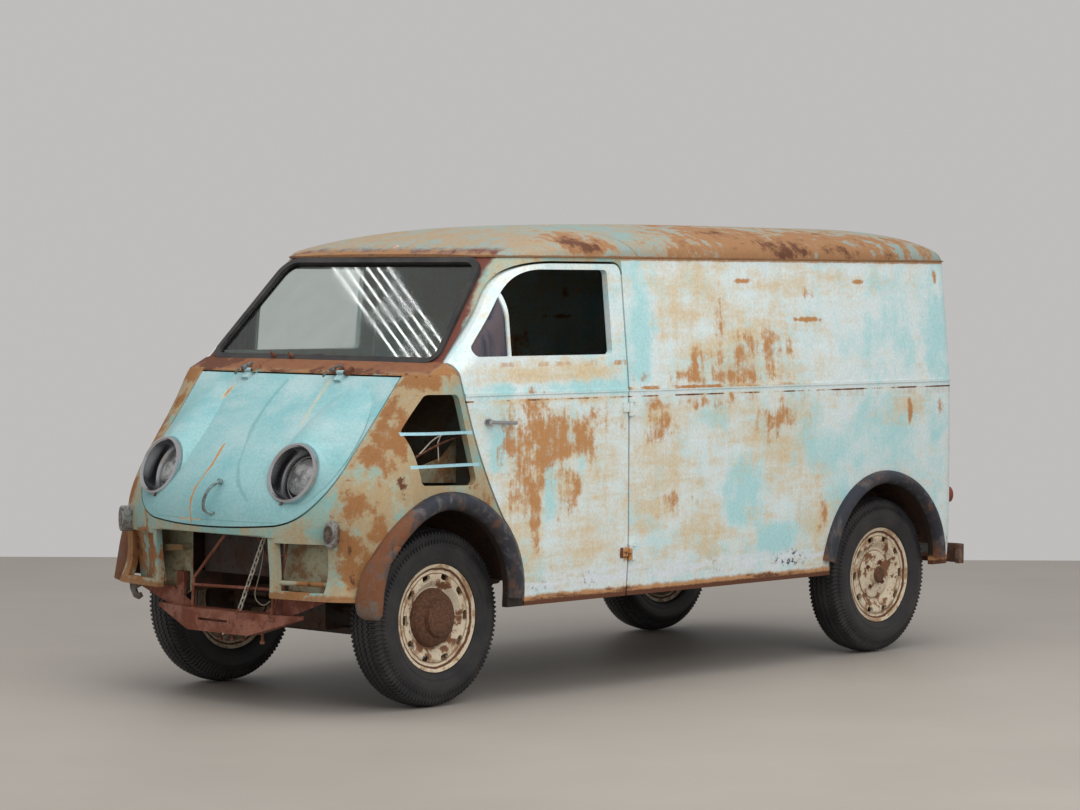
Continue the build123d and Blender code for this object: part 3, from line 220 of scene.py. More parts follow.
# ---------------------------------------------------------------- node helpers
class Tree:
    """Adds nodes to one node tree and joins them."""

    def __init__(self, tree):
        self.tree = tree
        self.frayed = None

    def feed(self, socket, value):
        if isinstance(value, bpy.types.NodeSocket):
            self.tree.links.new(value, socket)
        else:
            socket.default_value = value

    def node(self, kind, inputs=None, **settings):
        made = self.tree.nodes.new(kind)
        for name, value in settings.items():
            setattr(made, name, value)
        for name, value in (inputs or {}).items():
            self.feed(made.inputs[name], value)
        return made

    def math(self, operation, first, second=0.0, clamp=False):
        made = self.node("ShaderNodeMath", {0: first, 1: second}, operation=operation)
        made.use_clamp = clamp
        return made.outputs[0]

    def plus(self, first, second, clamp=False):
        return self.math("ADD", first, second, clamp)

    def minus(self, first, second, clamp=False):
        return self.math("SUBTRACT", first, second, clamp)

    def times(self, first, second, clamp=False):
        return self.math("MULTIPLY", first, second, clamp)

    def inverse(self, value):
        return self.math("SUBTRACT", 1.0, value)

    def size(self, value):
        return self.math("ABSOLUTE", value)

    def any_of(self, *masks):
        total = masks[0]
        for mask in masks[1:]:
            total = self.math("MAXIMUM", total, mask)
        return total

    def blend(self, first, second, share):
        return self.plus(self.times(first, share), self.times(second, 1.0 - share))

    def swing(self, value, middle, reach):
        return self.times(self.minus(value, middle), reach)

    def vector(self, operation, first, second=(0.0, 0.0, 0.0)):
        made = self.node("ShaderNodeVectorMath", {0: first, 1: second}, operation=operation)
        return made.outputs["Value" if operation in ("LENGTH", "DOT_PRODUCT") else "Vector"]

    def length(self, vector):
        return self.vector("LENGTH", vector)

    def stretch(self, vector, factors):
        return self.vector("MULTIPLY", vector, factors)

    def split(self, vector):
        return self.node("ShaderNodeSeparateXYZ", {0: vector}).outputs

    def drawn_down(self, vector, share):
        x, y, z = self.split(vector)
        return self.node("ShaderNodeCombineXYZ", {0: x, 1: y, 2: self.math("DIVIDE", z, share)}).outputs[0]

    def ramp(self, value, low, high, to_low=0.0, to_high=1.0):
        inputs = {"Value": value, "From Min": low, "From Max": high, "To Min": to_low, "To Max": to_high}
        return self.node("ShaderNodeMapRange", inputs, interpolation_type="SMOOTHSTEP").outputs[0]

    def mix(self, share, first, second):
        made = self.node("ShaderNodeMix", data_type="RGBA")
        for socket, value in ((0, share), (6, first), (7, second)):
            self.feed(made.inputs[socket], value)
        return made.outputs[2]

    def noise(self, vector, scale, detail=4.0, roughness=0.55, distortion=0.0):
        inputs = {"Vector": vector, "Scale": scale, "Detail": detail}
        inputs.update({"Roughness": roughness, "Distortion": distortion})
        return self.node("ShaderNodeTexNoise", inputs).outputs[0]

    def group(self, name, **inputs):
        made = self.node("ShaderNodeGroup", node_tree=bpy.data.node_groups[name])
        for key, value in inputs.items():
            self.feed(made.inputs[key.replace("_", " ")], value)
        return made.outputs

    def fray(self, place):
        """The noise that frays every patch and line of one material."""
        if self.frayed is None:
            self.frayed = self.noise(place, 7.0, 6.0, 0.68)
        return self.frayed


def new_group(name, outputs, **inputs):
    """A shader node group: its tree, its input sockets by name and its output sockets by name."""
    group = bpy.data.node_groups.new(name, "ShaderNodeTree")
    for title, value in {"Vector": (0.0, 0.0, 0.0), **inputs}.items():
        kind = "Float"
        if isinstance(value, tuple):
            kind = "Vector" if len(value) == 3 else "Color"
        spoken = title.replace("_", " ")
        socket = group.interface.new_socket(spoken, in_out="INPUT", socket_type=f"NodeSocket{kind}")
        socket.default_value = value
    for title in outputs:
        kind = "NodeSocketColor" if title == "Color" else "NodeSocketFloat"
        group.interface.new_socket(title, in_out="OUTPUT", socket_type=kind)
    return Tree(group), group.nodes.new("NodeGroupInput").outputs, group.nodes.new("NodeGroupOutput").inputs


MASK = ("Mask",)
SURFACE = ("Color", "Roughness", "Height")
NOWHERE, EVERYWHERE = (0.0, 0.0, 0.0), (1.0, 1.0, 1.0)


def make_soft_patch():
    """A ragged soft-edged patch round one place on the body."""
    sockets = {"Centre": NOWHERE, "Size": EVERYWHERE, "Wander": 0.5, "Ragged": 0.8}
    tree, inside, out = new_group("Soft Patch", MASK, **sockets)
    offset = tree.vector("SUBTRACT", inside["Vector"], inside["Centre"])
    distance = tree.length(tree.vector("DIVIDE", offset, inside["Size"]))
    shift = tree.times(tree.minus(inside["Wander"], 0.5), inside["Ragged"])
    tree.feed(out["Mask"], tree.ramp(tree.plus(distance, tree.times(shift, 2.6)), 1.35, 0.1))


def make_thin_line():
    """A thin line drawn between two places, with a ragged width."""
    tree, inside, out = new_group("Thin Line", MASK, Start=NOWHERE, End=EVERYWHERE, Width=0.004, Wander=0.5)
    offset = tree.vector("SUBTRACT", inside["Vector"], inside["Start"])
    span = tree.vector("SUBTRACT", inside["End"], inside["Start"])
    reached = tree.vector("DOT_PRODUCT", offset, span)
    along = tree.math("DIVIDE", reached, tree.vector("DOT_PRODUCT", span, span))
    held = tree.any_of(tree.math("MINIMUM", along, 1.0), 0.0)
    scaled = tree.node("ShaderNodeVectorMath", {0: span, 3: held}, operation="SCALE").outputs[0]
    distance = tree.length(tree.vector("SUBTRACT", offset, scaled))
    width = tree.times(inside["Width"], tree.ramp(inside["Wander"], 0.3, 0.7, 0.5, 1.5))
    tree.feed(out["Mask"], tree.ramp(tree.math("DIVIDE", distance, width), 1.2, 0.5))


def make_streaks():
    """Upright streaks left by water running down a panel."""
    tree, inside, out = new_group("Water Streaks", MASK, Width=14.0, Length=9.0, Coverage=0.5)
    fine = tree.noise(tree.drawn_down(inside["Vector"], inside["Length"]), inside["Width"], 5.0, 0.62, 0.25)
    edge = tree.inverse(inside["Coverage"])
    tree.feed(out["Mask"], tree.ramp(fine, tree.minus(edge, 0.12), tree.plus(edge, 0.12)))


def make_blotches():
    """Cloudy blotches of one size."""
    tree, inside, out = new_group("Blotches", MASK, Scale=3.0, Coverage=0.5, Softness=0.08)
    cloud = tree.noise(inside["Vector"], inside["Scale"], 7.0, 0.62, 0.3)
    edge = tree.inverse(inside["Coverage"])
    low, high = tree.minus(edge, inside["Softness"]), tree.plus(edge, inside["Softness"])
    tree.feed(out["Mask"], tree.ramp(cloud, low, high))


def make_level_band():
    """A ragged band round one height."""
    tree, inside, out = new_group("Level Band", MASK, Level=1.0, Half_Height=0.02, Ragged=0.02)
    wander = tree.noise(tree.stretch(inside["Vector"], (1.0, 1.0, 0.2)), 16.0, 5.0, 0.65)
    shift = tree.times(tree.minus(wander, 0.45), inside["Ragged"])
    distance = tree.size(tree.minus(tree.split(inside["Vector"])[2], inside["Level"]))
    reach = tree.minus(distance, tree.times(shift, 3.0))
    outer, inner = tree.times(inside["Half Height"], 1.5), tree.times(inside["Half Height"], 0.5)
    tree.feed(out["Mask"], tree.ramp(reach, outer, inner))


def make_rust_over_paint():
    """Paint that thins to stain and rust: its colour, roughness and height."""
    tree, inside, out = new_group(
        "Rust Over Paint",
        SURFACE,
        Paint=(0.5, 0.5, 0.5, 1.0),
        Stain_Colour=(0.5, 0.4, 0.2, 1.0),
        Rust_Colour=(0.3, 0.12, 0.05, 1.0),
        Old_Rust_Colour=(0.1, 0.04, 0.02, 1.0),
        Stain=0.0,
        Rust=0.0,
        Old_Rust=0.0,
    )
    grain = tree.noise(inside["Vector"], 90.0, 3.0, 0.6)
    speck = tree.noise(inside["Vector"], 34.0, 6.0, 0.7)
    thin = tree.times(inside["Stain"], tree.ramp(speck, 0.28, 0.62, 0.72, 1.0))
    rust = tree.ramp(tree.plus(inside["Rust"], tree.swing(speck, 0.5, 0.6)), 0.22, 0.92)
    old = tree.ramp(tree.plus(inside["Old Rust"], tree.swing(grain, 0.5, 0.7)), 0.35, 0.8)
    stained = tree.mix(thin, inside["Paint"], inside["Stain Colour"])
    aged = tree.mix(old, tree.mix(rust, stained, inside["Rust Colour"]), inside["Old Rust Colour"])
    mottled = {"Color": aged, "Value": tree.ramp(grain, 0.2, 0.8, 0.9, 1.1)}
    tree.feed(out["Color"], tree.node("ShaderNodeHueSaturation", mottled).outputs[0])
    rough = tree.plus(0.5, tree.times(tree.any_of(rust, old), 0.35))
    tree.feed(out["Roughness"], tree.plus(rough, tree.times(speck, 0.1)))
    pits = tree.times(tree.plus(rust, old), tree.minus(grain, 0.6))
    tree.feed(out["Height"], tree.plus(pits, tree.times(speck, 0.12)))


def make_dust():
    """A dry dusty film, thicker in blotches."""
    tree, inside, out = new_group(
        "Dust Film", SURFACE, Color=(0.1, 0.1, 0.1, 1.0), Dust=(0.4, 0.35, 0.3, 1.0), Amount=0.3
    )
    cloud = tree.noise(inside["Vector"], 9.0, 6.0, 0.65)
    film = tree.times(tree.ramp(cloud, 0.3, 0.75), inside["Amount"], clamp=True)
    tree.feed(out["Color"], tree.mix(film, inside["Color"], inside["Dust"]))
    tree.feed(out["Roughness"], tree.plus(0.5, tree.times(film, 0.4)))
    tree.feed(out["Height"], tree.noise(inside["Vector"], 120.0, 2.0, 0.5))


# ---------------------------------------------------------------- masks
def at(x, y, z):
    """A place measured from the body's datum."""
    return Vector((x, BODY_Y + y, z + LIFT))


def patch(tree, place, y, z, size_y, size_z, ragged=0.8, x=0.0, size_x=4.0):
    """One soft patch placed from the body's datum."""
    reach = (size_x, size_y, size_z)
    made = tree.group(
        "Soft Patch", Vector=place, Centre=at(x, y, z), Size=reach, Wander=tree.fray(place), Ragged=ragged
    )
    return made["Mask"]


def patches(tree, place, spots, ragged=0.8):
    """Several patches, each y, z, reach in y, reach in z and strength."""
    return tree.any_of(*[tree.times(patch(tree, place, *spot[:4], ragged), spot[4]) for spot in spots])


def line(tree, place, points, width):
    """A ragged thin line through several places."""
    masks = []
    for start, end in zip(points, points[1:]):
        ends = {"Start": at(*start), "End": at(*end)}
        wander = tree.fray(place)
        masks.append(tree.group("Thin Line", Vector=place, **ends, Width=width, Wander=wander)["Mask"])
    return tree.any_of(*masks)


def band(tree, place, level, half_height, ragged):
    """A ragged band round one height."""
    edge = {"Level": level, "Half_Height": half_height, "Ragged": ragged}
    return tree.group("Level Band", Vector=place, **edge)["Mask"]


def blotches(tree, place, scale, coverage, softness):
    """Cloudy blotches of one size."""
    return tree.group("Blotches", Vector=place, Scale=scale, Coverage=coverage, Softness=softness)["Mask"]


def streaks(tree, place, width, length, coverage):
    """Upright streaks left by water."""
    return tree.group("Water Streaks", Vector=place, Width=width, Length=length, Coverage=coverage)["Mask"]


def weather(tree, place, down=9.0):
    """A mottle of fine cloud and downward streaks, about 0.5 in the middle."""
    fine = tree.noise(place, 9.0, 9.0, 0.74)
    streak = tree.noise(tree.drawn_down(place, down), 17.0, 6.0, 0.7)
    return tree.blend(fine, streak, 0.55)


def grown(tree, field, bias, strength, low, high):
    """Where a mottle, raised by a bias, passes a threshold."""
    return tree.ramp(tree.plus(field, tree.times(bias, strength)), low, high)


def stripe(tree, value, middle, outer, inner):
    """A narrow stripe round one value."""
    return tree.ramp(tree.size(tree.minus(value, middle)), outer, inner)


# each wheel arch's centre in y and z, and its reach forward and up
FRONT_ARCH = (0.052, 0.420, 0.352, 0.374)
REAR_ARCH = (2.930, 0.385, 0.396, 0.396)
# painted shade: the dark brown painted inside the wheel arches and under the panel behind the front wheel
ARCH_SHADE = rgba(52, 44, 40)


def arch_shade_mask(tree, place, arch):
    """The cut edge and the back of a wheel arch, where shade falls: painted dark brown as painted shade."""
    y, z, forward, upward = arch
    offset = tree.vector("SUBTRACT", place, at(0.0, y, z))
    reach = tree.length(tree.stretch(offset, (0.0, 1.0 / forward, 1.0 / upward)))
    return tree.ramp(reach, 1.030, 1.018)


# ---------------------------------------------------------------- materials
def new_material(name):
    """An empty node material: its tree, its Principled shader and the piece's own coordinates."""
    material = bpy.data.materials.new(name)
    material.use_nodes = True
    tree = Tree(material.node_tree)
    shader = material.node_tree.nodes["Principled BSDF"]
    place = tree.node("ShaderNodeTexCoord").outputs["Object"]
    return material, tree, shader, place


def bump(tree, shader, height, distance):
    """Feeds a height to the shader's normal."""
    made = tree.node("ShaderNodeBump", {"Height": height, "Strength": 1.0, "Distance": distance})
    tree.feed(shader.inputs["Normal"], made.outputs[0])


def skin(tree, shader, colour, roughness):
    """Feeds a colour and a roughness to the shader."""
    tree.feed(shader.inputs["Base Color"], colour)
    tree.feed(shader.inputs["Roughness"], roughness)


def rusting(tree, shader, place, paint, masks, colours, depth=0.0012):
    """Paint under masks of stain, rust and old rust, each in its own colour."""
    made = tree.group(
        "Rust Over Paint",
        Vector=place,
        Paint=paint,
        Stain_Colour=colours[0],
        Rust_Colour=colours[1],
        Old_Rust_Colour=colours[2],
        Stain=masks[0],
        Rust=masks[1],
        Old_Rust=masks[2],
    )
    skin(tree, shader, made["Color"], made["Roughness"])
    bump(tree, shader, made["Height"], depth)


def rusting_panel(tree, shader, place, paint, masks, stain=None, rust=None):
    """Body paint with its rust, in the panel's own colours or the given ones."""
    own = bpy.context.scene.van_paint
    colours = (stain or solid(own.stain), rust or solid(own.rust), solid(own.old_rust))
    rusting(tree, shader, place, paint, masks, colours)
    shader.inputs["Specular IOR Level"].default_value = 0.35


WINDOW_FOOT_Z = 1.384
# height of the white wiped paint and black spatter low on the sides
SMEAR_Z = 0.487
# y, z, reach in y, reach in z and strength, from the body's datum
SIDE_SOUND = [
    (1.24, 1.52, 0.10, 0.34, 1.0),
    (2.92, 1.53, 0.40, 0.26, 0.6),
    (3.37, 1.40, 0.12, 0.60, 0.9),
    (1.88, 0.74, 0.14, 0.24, 0.9),
    (2.13, 0.57, 0.14, 0.08, 1.0),
    (0.34, 1.02, 0.08, 0.12, 0.9),
    (0.72, 1.27, 0.60, 0.035, 1.0),
    (2.62, 1.02, 0.50, 0.18, 0.6),
    (1.66, 1.12, 0.20, 0.07, 0.6),
    (2.60, 0.72, 0.14, 0.26, 0.5),
    (0.64, 0.88, 0.05, 0.22, 0.7),
    (0.84, 0.92, 0.04, 0.16, 0.6),
    (2.30, 1.44, 0.30, 0.10, 0.4),
]
SIDE_STAIN = [
    (0.68, 0.98, 0.52, 0.34, 1.0),
    (0.46, 0.72, 0.20, 0.36, 1.0),
    (0.84, 0.62, 0.30, 0.20, 0.7),
    (0.66, 1.33, 0.54, 0.07, 1.2),
    (0.66, 1.225, 0.54, 0.03, 1.1),
    (1.62, 1.15, 0.66, 0.10, 1.0),
    (1.90, 1.40, 0.56, 0.26, 1.0),
    (1.60, 1.62, 0.36, 0.24, 0.8),
    (2.14, 1.00, 0.50, 0.24, 0.9),
    (1.36, 0.84, 0.30, 0.34, 0.9),
    (1.70, 0.62, 0.60, 0.16, 0.8),
    (2.44, 0.64, 0.22, 0.28, 0.7),
    (3.06, 1.14, 0.40, 0.08, 0.7),
    (2.45, 1.70, 0.90, 0.08, 0.7),
    (1.40, 1.70, 0.30, 0.06, 0.8),
]
SIDE_RUST = [
    (0.66, 1.08, 0.46, 0.20, 1.15),
    (0.50, 0.86, 0.16, 0.34, 1.1),
    (0.42, 0.60, 0.09, 0.16, 1.0),
    (0.74, 0.88, 0.20, 0.18, 0.8),
    (0.92, 1.00, 0.08, 0.24, 0.6),
    (1.74, 1.36, 0.34, 0.10, 0.9),
    (2.04, 1.40, 0.34, 0.14, 0.9),
    (1.76, 1.52, 0.10, 0.24, 0.7),
    (1.36, 1.08, 0.16, 0.10, 0.9),
    (1.42, 0.77, 0.20, 0.10, 0.9),
    (2.10, 1.10, 0.30, 0.12, 0.8),
    (1.60, 1.19, 0.60, 0.05, 0.9),
    (1.70, 1.30, 0.60, 0.05, 1.0),
    (1.95, 1.716, 0.09, 0.018, 1.4),
    (2.77, 1.714, 0.08, 0.016, 1.3),
    (2.37, 1.545, 0.12, 0.016, 1.4),
    (2.40, 1.66, 0.05, 0.05, 1.0),
    (3.365, 1.74, 0.026, 0.08, 1.4),
    (3.12, 1.13, 0.024, 0.09, 1.2),
    (3.36, 1.13, 0.06, 0.08, 1.1),
    (2.47, 0.68, 0.05, 0.16, 0.8),
    (1.116, 0.565, 0.05, 0.045, 2.0),
]


def side_paint():
    """The load body's and doors' paint: turquoise, bleached and rusting."""
    material, tree, shader, place = new_material("side_paint")
    colours = bpy.context.scene.van_paint
    y = tree.split(place)[1]
    field = weather(tree, place)
    coarse = tree.noise(place, 3.4, 7.0, 0.66)
    drag = tree.noise(tree.stretch(place, (1.0, 0.9, 4.5)), 4.0, 7.0, 0.68)
    sound = patches(tree, place, SIDE_SOUND, 0.9)
    kept = grown(tree, tree.blend(coarse, field, 0.6), sound, -0.15, 0.33, 0.52)
    paint = tree.mix(kept, solid(colours.turquoise), solid(colours.faded))
    bias = tree.minus(patches(tree, place, SIDE_STAIN), tree.times(sound, 0.9))
    stain = tree.times(grown(tree, tree.blend(drag, field, 0.4), bias, 0.15, 0.46, 0.70), 0.96)
    deep = patches(tree, place, SIDE_RUST, 0.9)
    cores = grown(tree, field, deep, 0.21, 0.53, 0.80)

    rear_only = tree.ramp(y, DOOR_REAR_Y - 0.005, DOOR_REAR_Y + 0.005)
    fore_part = tree.times(rear_only, tree.ramp(y, BODY_Y + 2.7, BODY_Y + 1.9, 0.35, 1.0))
    broken = tree.ramp(tree.noise(tree.stretch(place, (1.0, 1.0, 0.4)), 6.0, 5.0, 0.6), 0.36, 0.62, 0.1, 1.0)
    moulding = band(tree, place, BELT_Z - 0.012, 0.010, 0.001)
    belt = band(tree, place, BELT_Z - 0.028, 0.0035, 0.002)
    over = band(tree, place, BELT_Z + 0.006, 0.007, 0.009)
    under = band(tree, place, BELT_Z - 0.045, 0.018, 0.012)
    drip = band(tree, place, DRIP_Z - 0.004, 0.006, 0.005)
    sill = band(tree, place, SILL_Z + 0.012, 0.030, 0.010)
    foot = band(tree, place, SILL_Z - 0.004, 0.026, 0.004)
    window = band(tree, place, WINDOW_FOOT_Z, 0.010, 0.008)
    edges = tree.any_of(
        tree.times(belt, broken),
        tree.times(over, tree.times(fore_part, tree.ramp(broken, 0.1, 1.0, 0.3, 0.9))),
        tree.times(under, tree.times(broken, 0.45)),
        tree.times(drip, 0.75),
        tree.times(window, tree.times(tree.inverse(rear_only), broken)),
    )
    spots = blotches(tree, place, 17.0, 0.29, 0.04)
    holes = blotches(tree, place, 38.0, 0.235, 0.015)
    rust = tree.any_of(cores, edges, tree.times(sill, 0.85), tree.times(spots, 0.45), holes)
    old = tree.any_of(
        tree.times(foot, 0.95),
        tree.times(sill, tree.ramp(drag, 0.4, 0.6, 0.2, 0.7)),
        tree.times(belt, tree.times(broken, 0.9)),
        tree.times(edges, 0.45),
        grown(tree, field, deep, 0.15, 0.68, 0.86),
        tree.times(holes, 0.9),
    )
    pale_edge = tree.times(moulding, tree.inverse(tree.times(broken, 0.25)))
    rust = tree.times(rust, tree.inverse(tree.times(pale_edge, 0.8)))

    smear = band(tree, place, SMEAR_Z, 0.030, 0.014)
    wiped = tree.noise(tree.stretch(place, (1.0, 1.2, 7.0)), 5.0, 5.0, 0.6)
    white = tree.times(smear, tree.ramp(wiped, 0.40, 0.56, 0.0, 0.9))
    dotted = tree.ramp(tree.noise(place, 3.0, 3.0, 0.5), 0.45, 0.56)
    black = tree.times(tree.times(smear, dotted), tree.ramp(tree.noise(place, 46.0, 4.0, 0.75), 0.54, 0.60))
    # painted shade: the rear arch's cut edge and back are painted dark brown
    painted_shade = arch_shade_mask(tree, place, REAR_ARCH)
    paint = tree.mix(white, paint, rgba(214, 220, 226))
    paint = tree.mix(black, paint, rgba(44, 48, 56))
    paint = tree.mix(painted_shade, paint, ARCH_SHADE)
    cover = tree.inverse(tree.any_of(white, black, pale_edge, painted_shade))
    rusting_panel(tree, shader, place, paint, (tree.times(stain, cover), rust, old))
    return material


WING_STAIN = [
    (-0.10, 1.20, 0.18, 0.16, 1.0),
    (-0.20, 1.02, 0.12, 0.18, 1.0),
    (-0.10, 0.89, 0.24, 0.10, 0.9),
    (-0.33, 0.82, 0.14, 0.16, 1.0),
    (-0.38, 0.60, 0.16, 0.20, 1.0),
    (0.22, 0.86, 0.10, 0.12, 0.8),
    (0.02, 1.32, 0.16, 0.06, 1.0),
]
WING_RUST = [
    (-0.02, 1.31, 0.10, 0.05, 1.0),
    (-0.12, 1.20, 0.06, 0.08, 1.0),
    (-0.17, 1.08, 0.06, 0.12, 1.0),
    (-0.24, 0.98, 0.07, 0.10, 0.9),
    (-0.36, 0.83, 0.07, 0.09, 1.0),
    (-0.39, 0.66, 0.07, 0.08, 1.2),
    (-0.39, 0.56, 0.08, 0.09, 1.2),
    (-0.30, 0.72, 0.06, 0.08, 0.8),
    (0.25, 0.82, 0.05, 0.06, 0.7),
]


# heights of the two slats across each wing's vent
SLAT_LEVELS = (0.9855, 1.1155)


def primer_mask(tree, place):
    """The red primer left round the windscreen's rubber."""
    x, y, z = tree.split(place)
    half = tree.ramp(z, SCREEN_LOW.z, SCREEN_HIGH.z, SCREEN_HIGH.x + 0.026, SCREEN_HIGH.x - 0.084)
    beyond = tree.minus(tree.size(x), half)
    above = tree.minus(z, SCREEN_HIGH.z + 0.026)
    below = tree.minus(SCREEN_LOW.z - 0.012, z)
    wander = tree.swing(tree.noise(place, 22.0, 5.0, 0.65), 0.5, 0.05)
    near = tree.ramp(tree.plus(tree.any_of(beyond, above, below), wander), 0.045, 0.018)
    return tree.times(near, tree.ramp(y, BODY_Y + 0.62, BODY_Y + 0.52))


def nose_paint():
    """The nose and wings: turquoise gone cream, with rust running down from the cowl."""
    material, tree, shader, place = new_material("nose_paint")
    x, y, z = tree.split(place)
    field = weather(tree, place, 5.0)
    coarse = tree.noise(place, 4.0, 7.0, 0.66)
    washed = tree.ramp(tree.blend(coarse, field, 0.6), 0.42, 0.56)
    paint = tree.mix(washed, rgba(126, 166, 160), rgba(160, 160, 138))
    outer = tree.ramp(tree.size(x), 0.56, 0.64)
    stain = grown(tree, field, tree.times(patches(tree, place, WING_STAIN), outer), 0.20, 0.47, 0.64)
    deep = tree.times(patches(tree, place, WING_RUST, 1.0), outer)
    corner = patch(tree, place, -0.42, 0.57, 0.2, 0.20, 0.9, x=-0.60, size_x=0.18)
    recess = patch(tree, place, -0.42, 0.60, 0.2, 0.14, 1.2, x=-0.44, size_x=0.14)
    near_corner = patch(tree, place, -0.42, 0.50, 0.2, 0.06, 0.9, x=0.50, size_x=0.14)
    pieces = tree.any_of(corner, recess, near_corner)
    cowl = tree.times(tree.ramp(z, 1.330, 1.350), tree.ramp(z, 1.410, 1.392))
    flaking = tree.noise(tree.stretch(place, (0.6, 1.0, 1.6)), 12.0, 7.0, 0.72)
    lower = band(tree, place, 0.462, 0.022, 0.014)
    rust = tree.any_of(
        grown(tree, field, deep, 0.26, 0.54, 0.78),
        grown(tree, flaking, cowl, 0.24, 0.56, 0.70),
        tree.times(lower, 0.8),
        grown(tree, field, pieces, 0.26, 0.56, 0.72),
    )
    old = tree.any_of(
        grown(tree, field, deep, 0.20, 0.68, 0.86),
        tree.times(lower, 0.45),
        grown(tree, field, pieces, 0.18, 0.64, 0.80),
        grown(tree, coarse, cowl, 0.16, 0.60, 0.74),
    )

    primed = primer_mask(tree, place)
    crossed = tree.any_of(*[stripe(tree, z, level, 0.0075, 0.0065) for level in SLAT_LEVELS])
    ahead = tree.ramp(y, BODY_Y + 0.235, BODY_Y + 0.215)
    within = tree.times(tree.ramp(y, BODY_Y - 0.150, BODY_Y - 0.146), ahead)
    slats = tree.times(crossed, within)
    # painted shade: the front arch's cut edge and the panel's underside behind the wheel are painted dark
    # brown
    shade_behind_wheel = tree.times(tree.ramp(y, BODY_Y + 0.34, BODY_Y + 0.36), tree.ramp(z, 0.475, 0.465))
    painted_shade = tree.any_of(arch_shade_mask(tree, place, FRONT_ARCH), shade_behind_wheel)
    paint = tree.mix(primed, paint, solid(bpy.context.scene.van_paint.primer))
    paint = tree.mix(slats, paint, rgba(158, 198, 208))
    paint = tree.mix(painted_shade, paint, ARCH_SHADE)
    unshaded = tree.inverse(painted_shade)
    bare = tree.times(tree.inverse(tree.any_of(primed, slats)), unshaded)
    clear = tree.times(tree.inverse(tree.any_of(tree.times(primed, 0.45), slats)), unshaded)
    masks = (tree.times(stain, bare), tree.times(rust, clear), old)
    rusting_panel(tree, shader, place, paint, masks, rgba(164, 142, 108), rgba(146, 104, 68))
    return material


# thin lines over the hood, each through places in x, y and z
HOOD_RUST_LINE = [
    (-0.087, -0.358, 1.039),
    (-0.074, -0.436, 0.960),
    (-0.088, -0.471, 0.906),
    (-0.104, -0.497, 0.866),
    (-0.106, -0.520, 0.817),
    (-0.098, -0.530, 0.783),
    (-0.077, -0.544, 0.730),
]
HOOD_RUST_BRANCHES = [
    [(-0.122, -0.495, 0.865), (-0.213, -0.510, 0.801)],
    [(-0.224, -0.515, 0.776), (-0.075, -0.532, 0.781)],
    [(-0.159, -0.535, 0.742), (-0.024, -0.545, 0.744)],
]
HOOD_TRICKLE = [(0.230, -0.066, 1.304), (0.244, -0.153, 1.225), (0.261, -0.260, 1.120)]
# the hood's crease: a darker turquoise line is painted along it as painted shade
HOOD_CREASE = [
    (-0.018, -0.076, 1.299),
    (-0.019, -0.170, 1.218),
    (0.003, -0.279, 1.119),
    (0.081, -0.432, 0.963),
    (0.138, -0.479, 0.887),
    (0.212, -0.502, 0.829),
    (0.281, -0.496, 0.800),
    (0.461, -0.445, 0.782),
]


def hood_paint():
    """The hood's sound turquoise, chalky, with rust in thin lines and below its hinges, and painted shade
    along its creases.
    """
    material, tree, shader, place = new_material("hood_paint")
    cloud = blotches(tree, place, 3.4, 0.5, 0.22)
    brushed = tree.noise(tree.stretch(place, (1.0, 1.0, 1.6)), 5.0, 6.0, 0.6)
    paint = tree.mix(cloud, rgba(124, 176, 180), rgba(144, 186, 188))
    height = tree.ramp(tree.split(place)[2], 0.85, 1.25, 0.35, 1.0)
    bleached = tree.times(height, tree.ramp(brushed, 0.38, 0.66, 0.0, 0.75))
    paint = tree.mix(bleached, paint, rgba(168, 192, 194))
    drop = patch(tree, place, -0.125, 1.245, 0.045, 0.045, 0.7, x=-0.327, size_x=0.020)
    specks = blotches(tree, place, 16.0, 0.255, 0.03)
    scratch = line(tree, place, HOOD_RUST_LINE, 0.0075)
    branch = tree.any_of(*[line(tree, place, points, 0.006) for points in HOOD_RUST_BRANCHES])
    trickle = line(tree, place, HOOD_TRICKLE, 0.010)
    # painted shade: darker turquoise along the hood's crease and along the fold across its foot
    fold = band(tree, place, 0.760, 0.002, 0.001)
    shade = tree.times(tree.any_of(line(tree, place, HOOD_CREASE, 0.010), fold), 0.45)
    paint = tree.mix(shade, paint, rgba(92, 146, 146))
    rust = tree.any_of(
        tree.times(drop, 0.8), tree.times(specks, 0.55), tree.times(scratch, 0.85), tree.times(branch, 0.5)
    )
    stain = tree.any_of(drop, specks, scratch, tree.times(branch, 0.8), tree.times(trickle, 0.5))
    rusting_panel(tree, shader, place, paint, (stain, rust, tree.times(specks, 0.3)))
    return material


# y, height over the drip rail, reach in y, reach in z and strength
ROOF_RUST = [(2.40, 0.05, 1.30, 0.12, 1.1), (0.95, 0.055, 0.24, 0.07, 1.1), (1.95, 0.10, 0.50, 0.10, 1.0)]
ROOF_STAIN = [(2.30, 0.06, 1.50, 0.18, 1.0), (0.85, 0.06, 0.50, 0.10, 0.9), (0.62, 0.10, 0.40, 0.08, 0.6)]


def over_rail(spots):
    """Patches measured from the drip rail, as patches measured from the datum."""
    return [(y, DRIP_Z - LIFT + rise, *rest) for y, rise, *rest in spots]


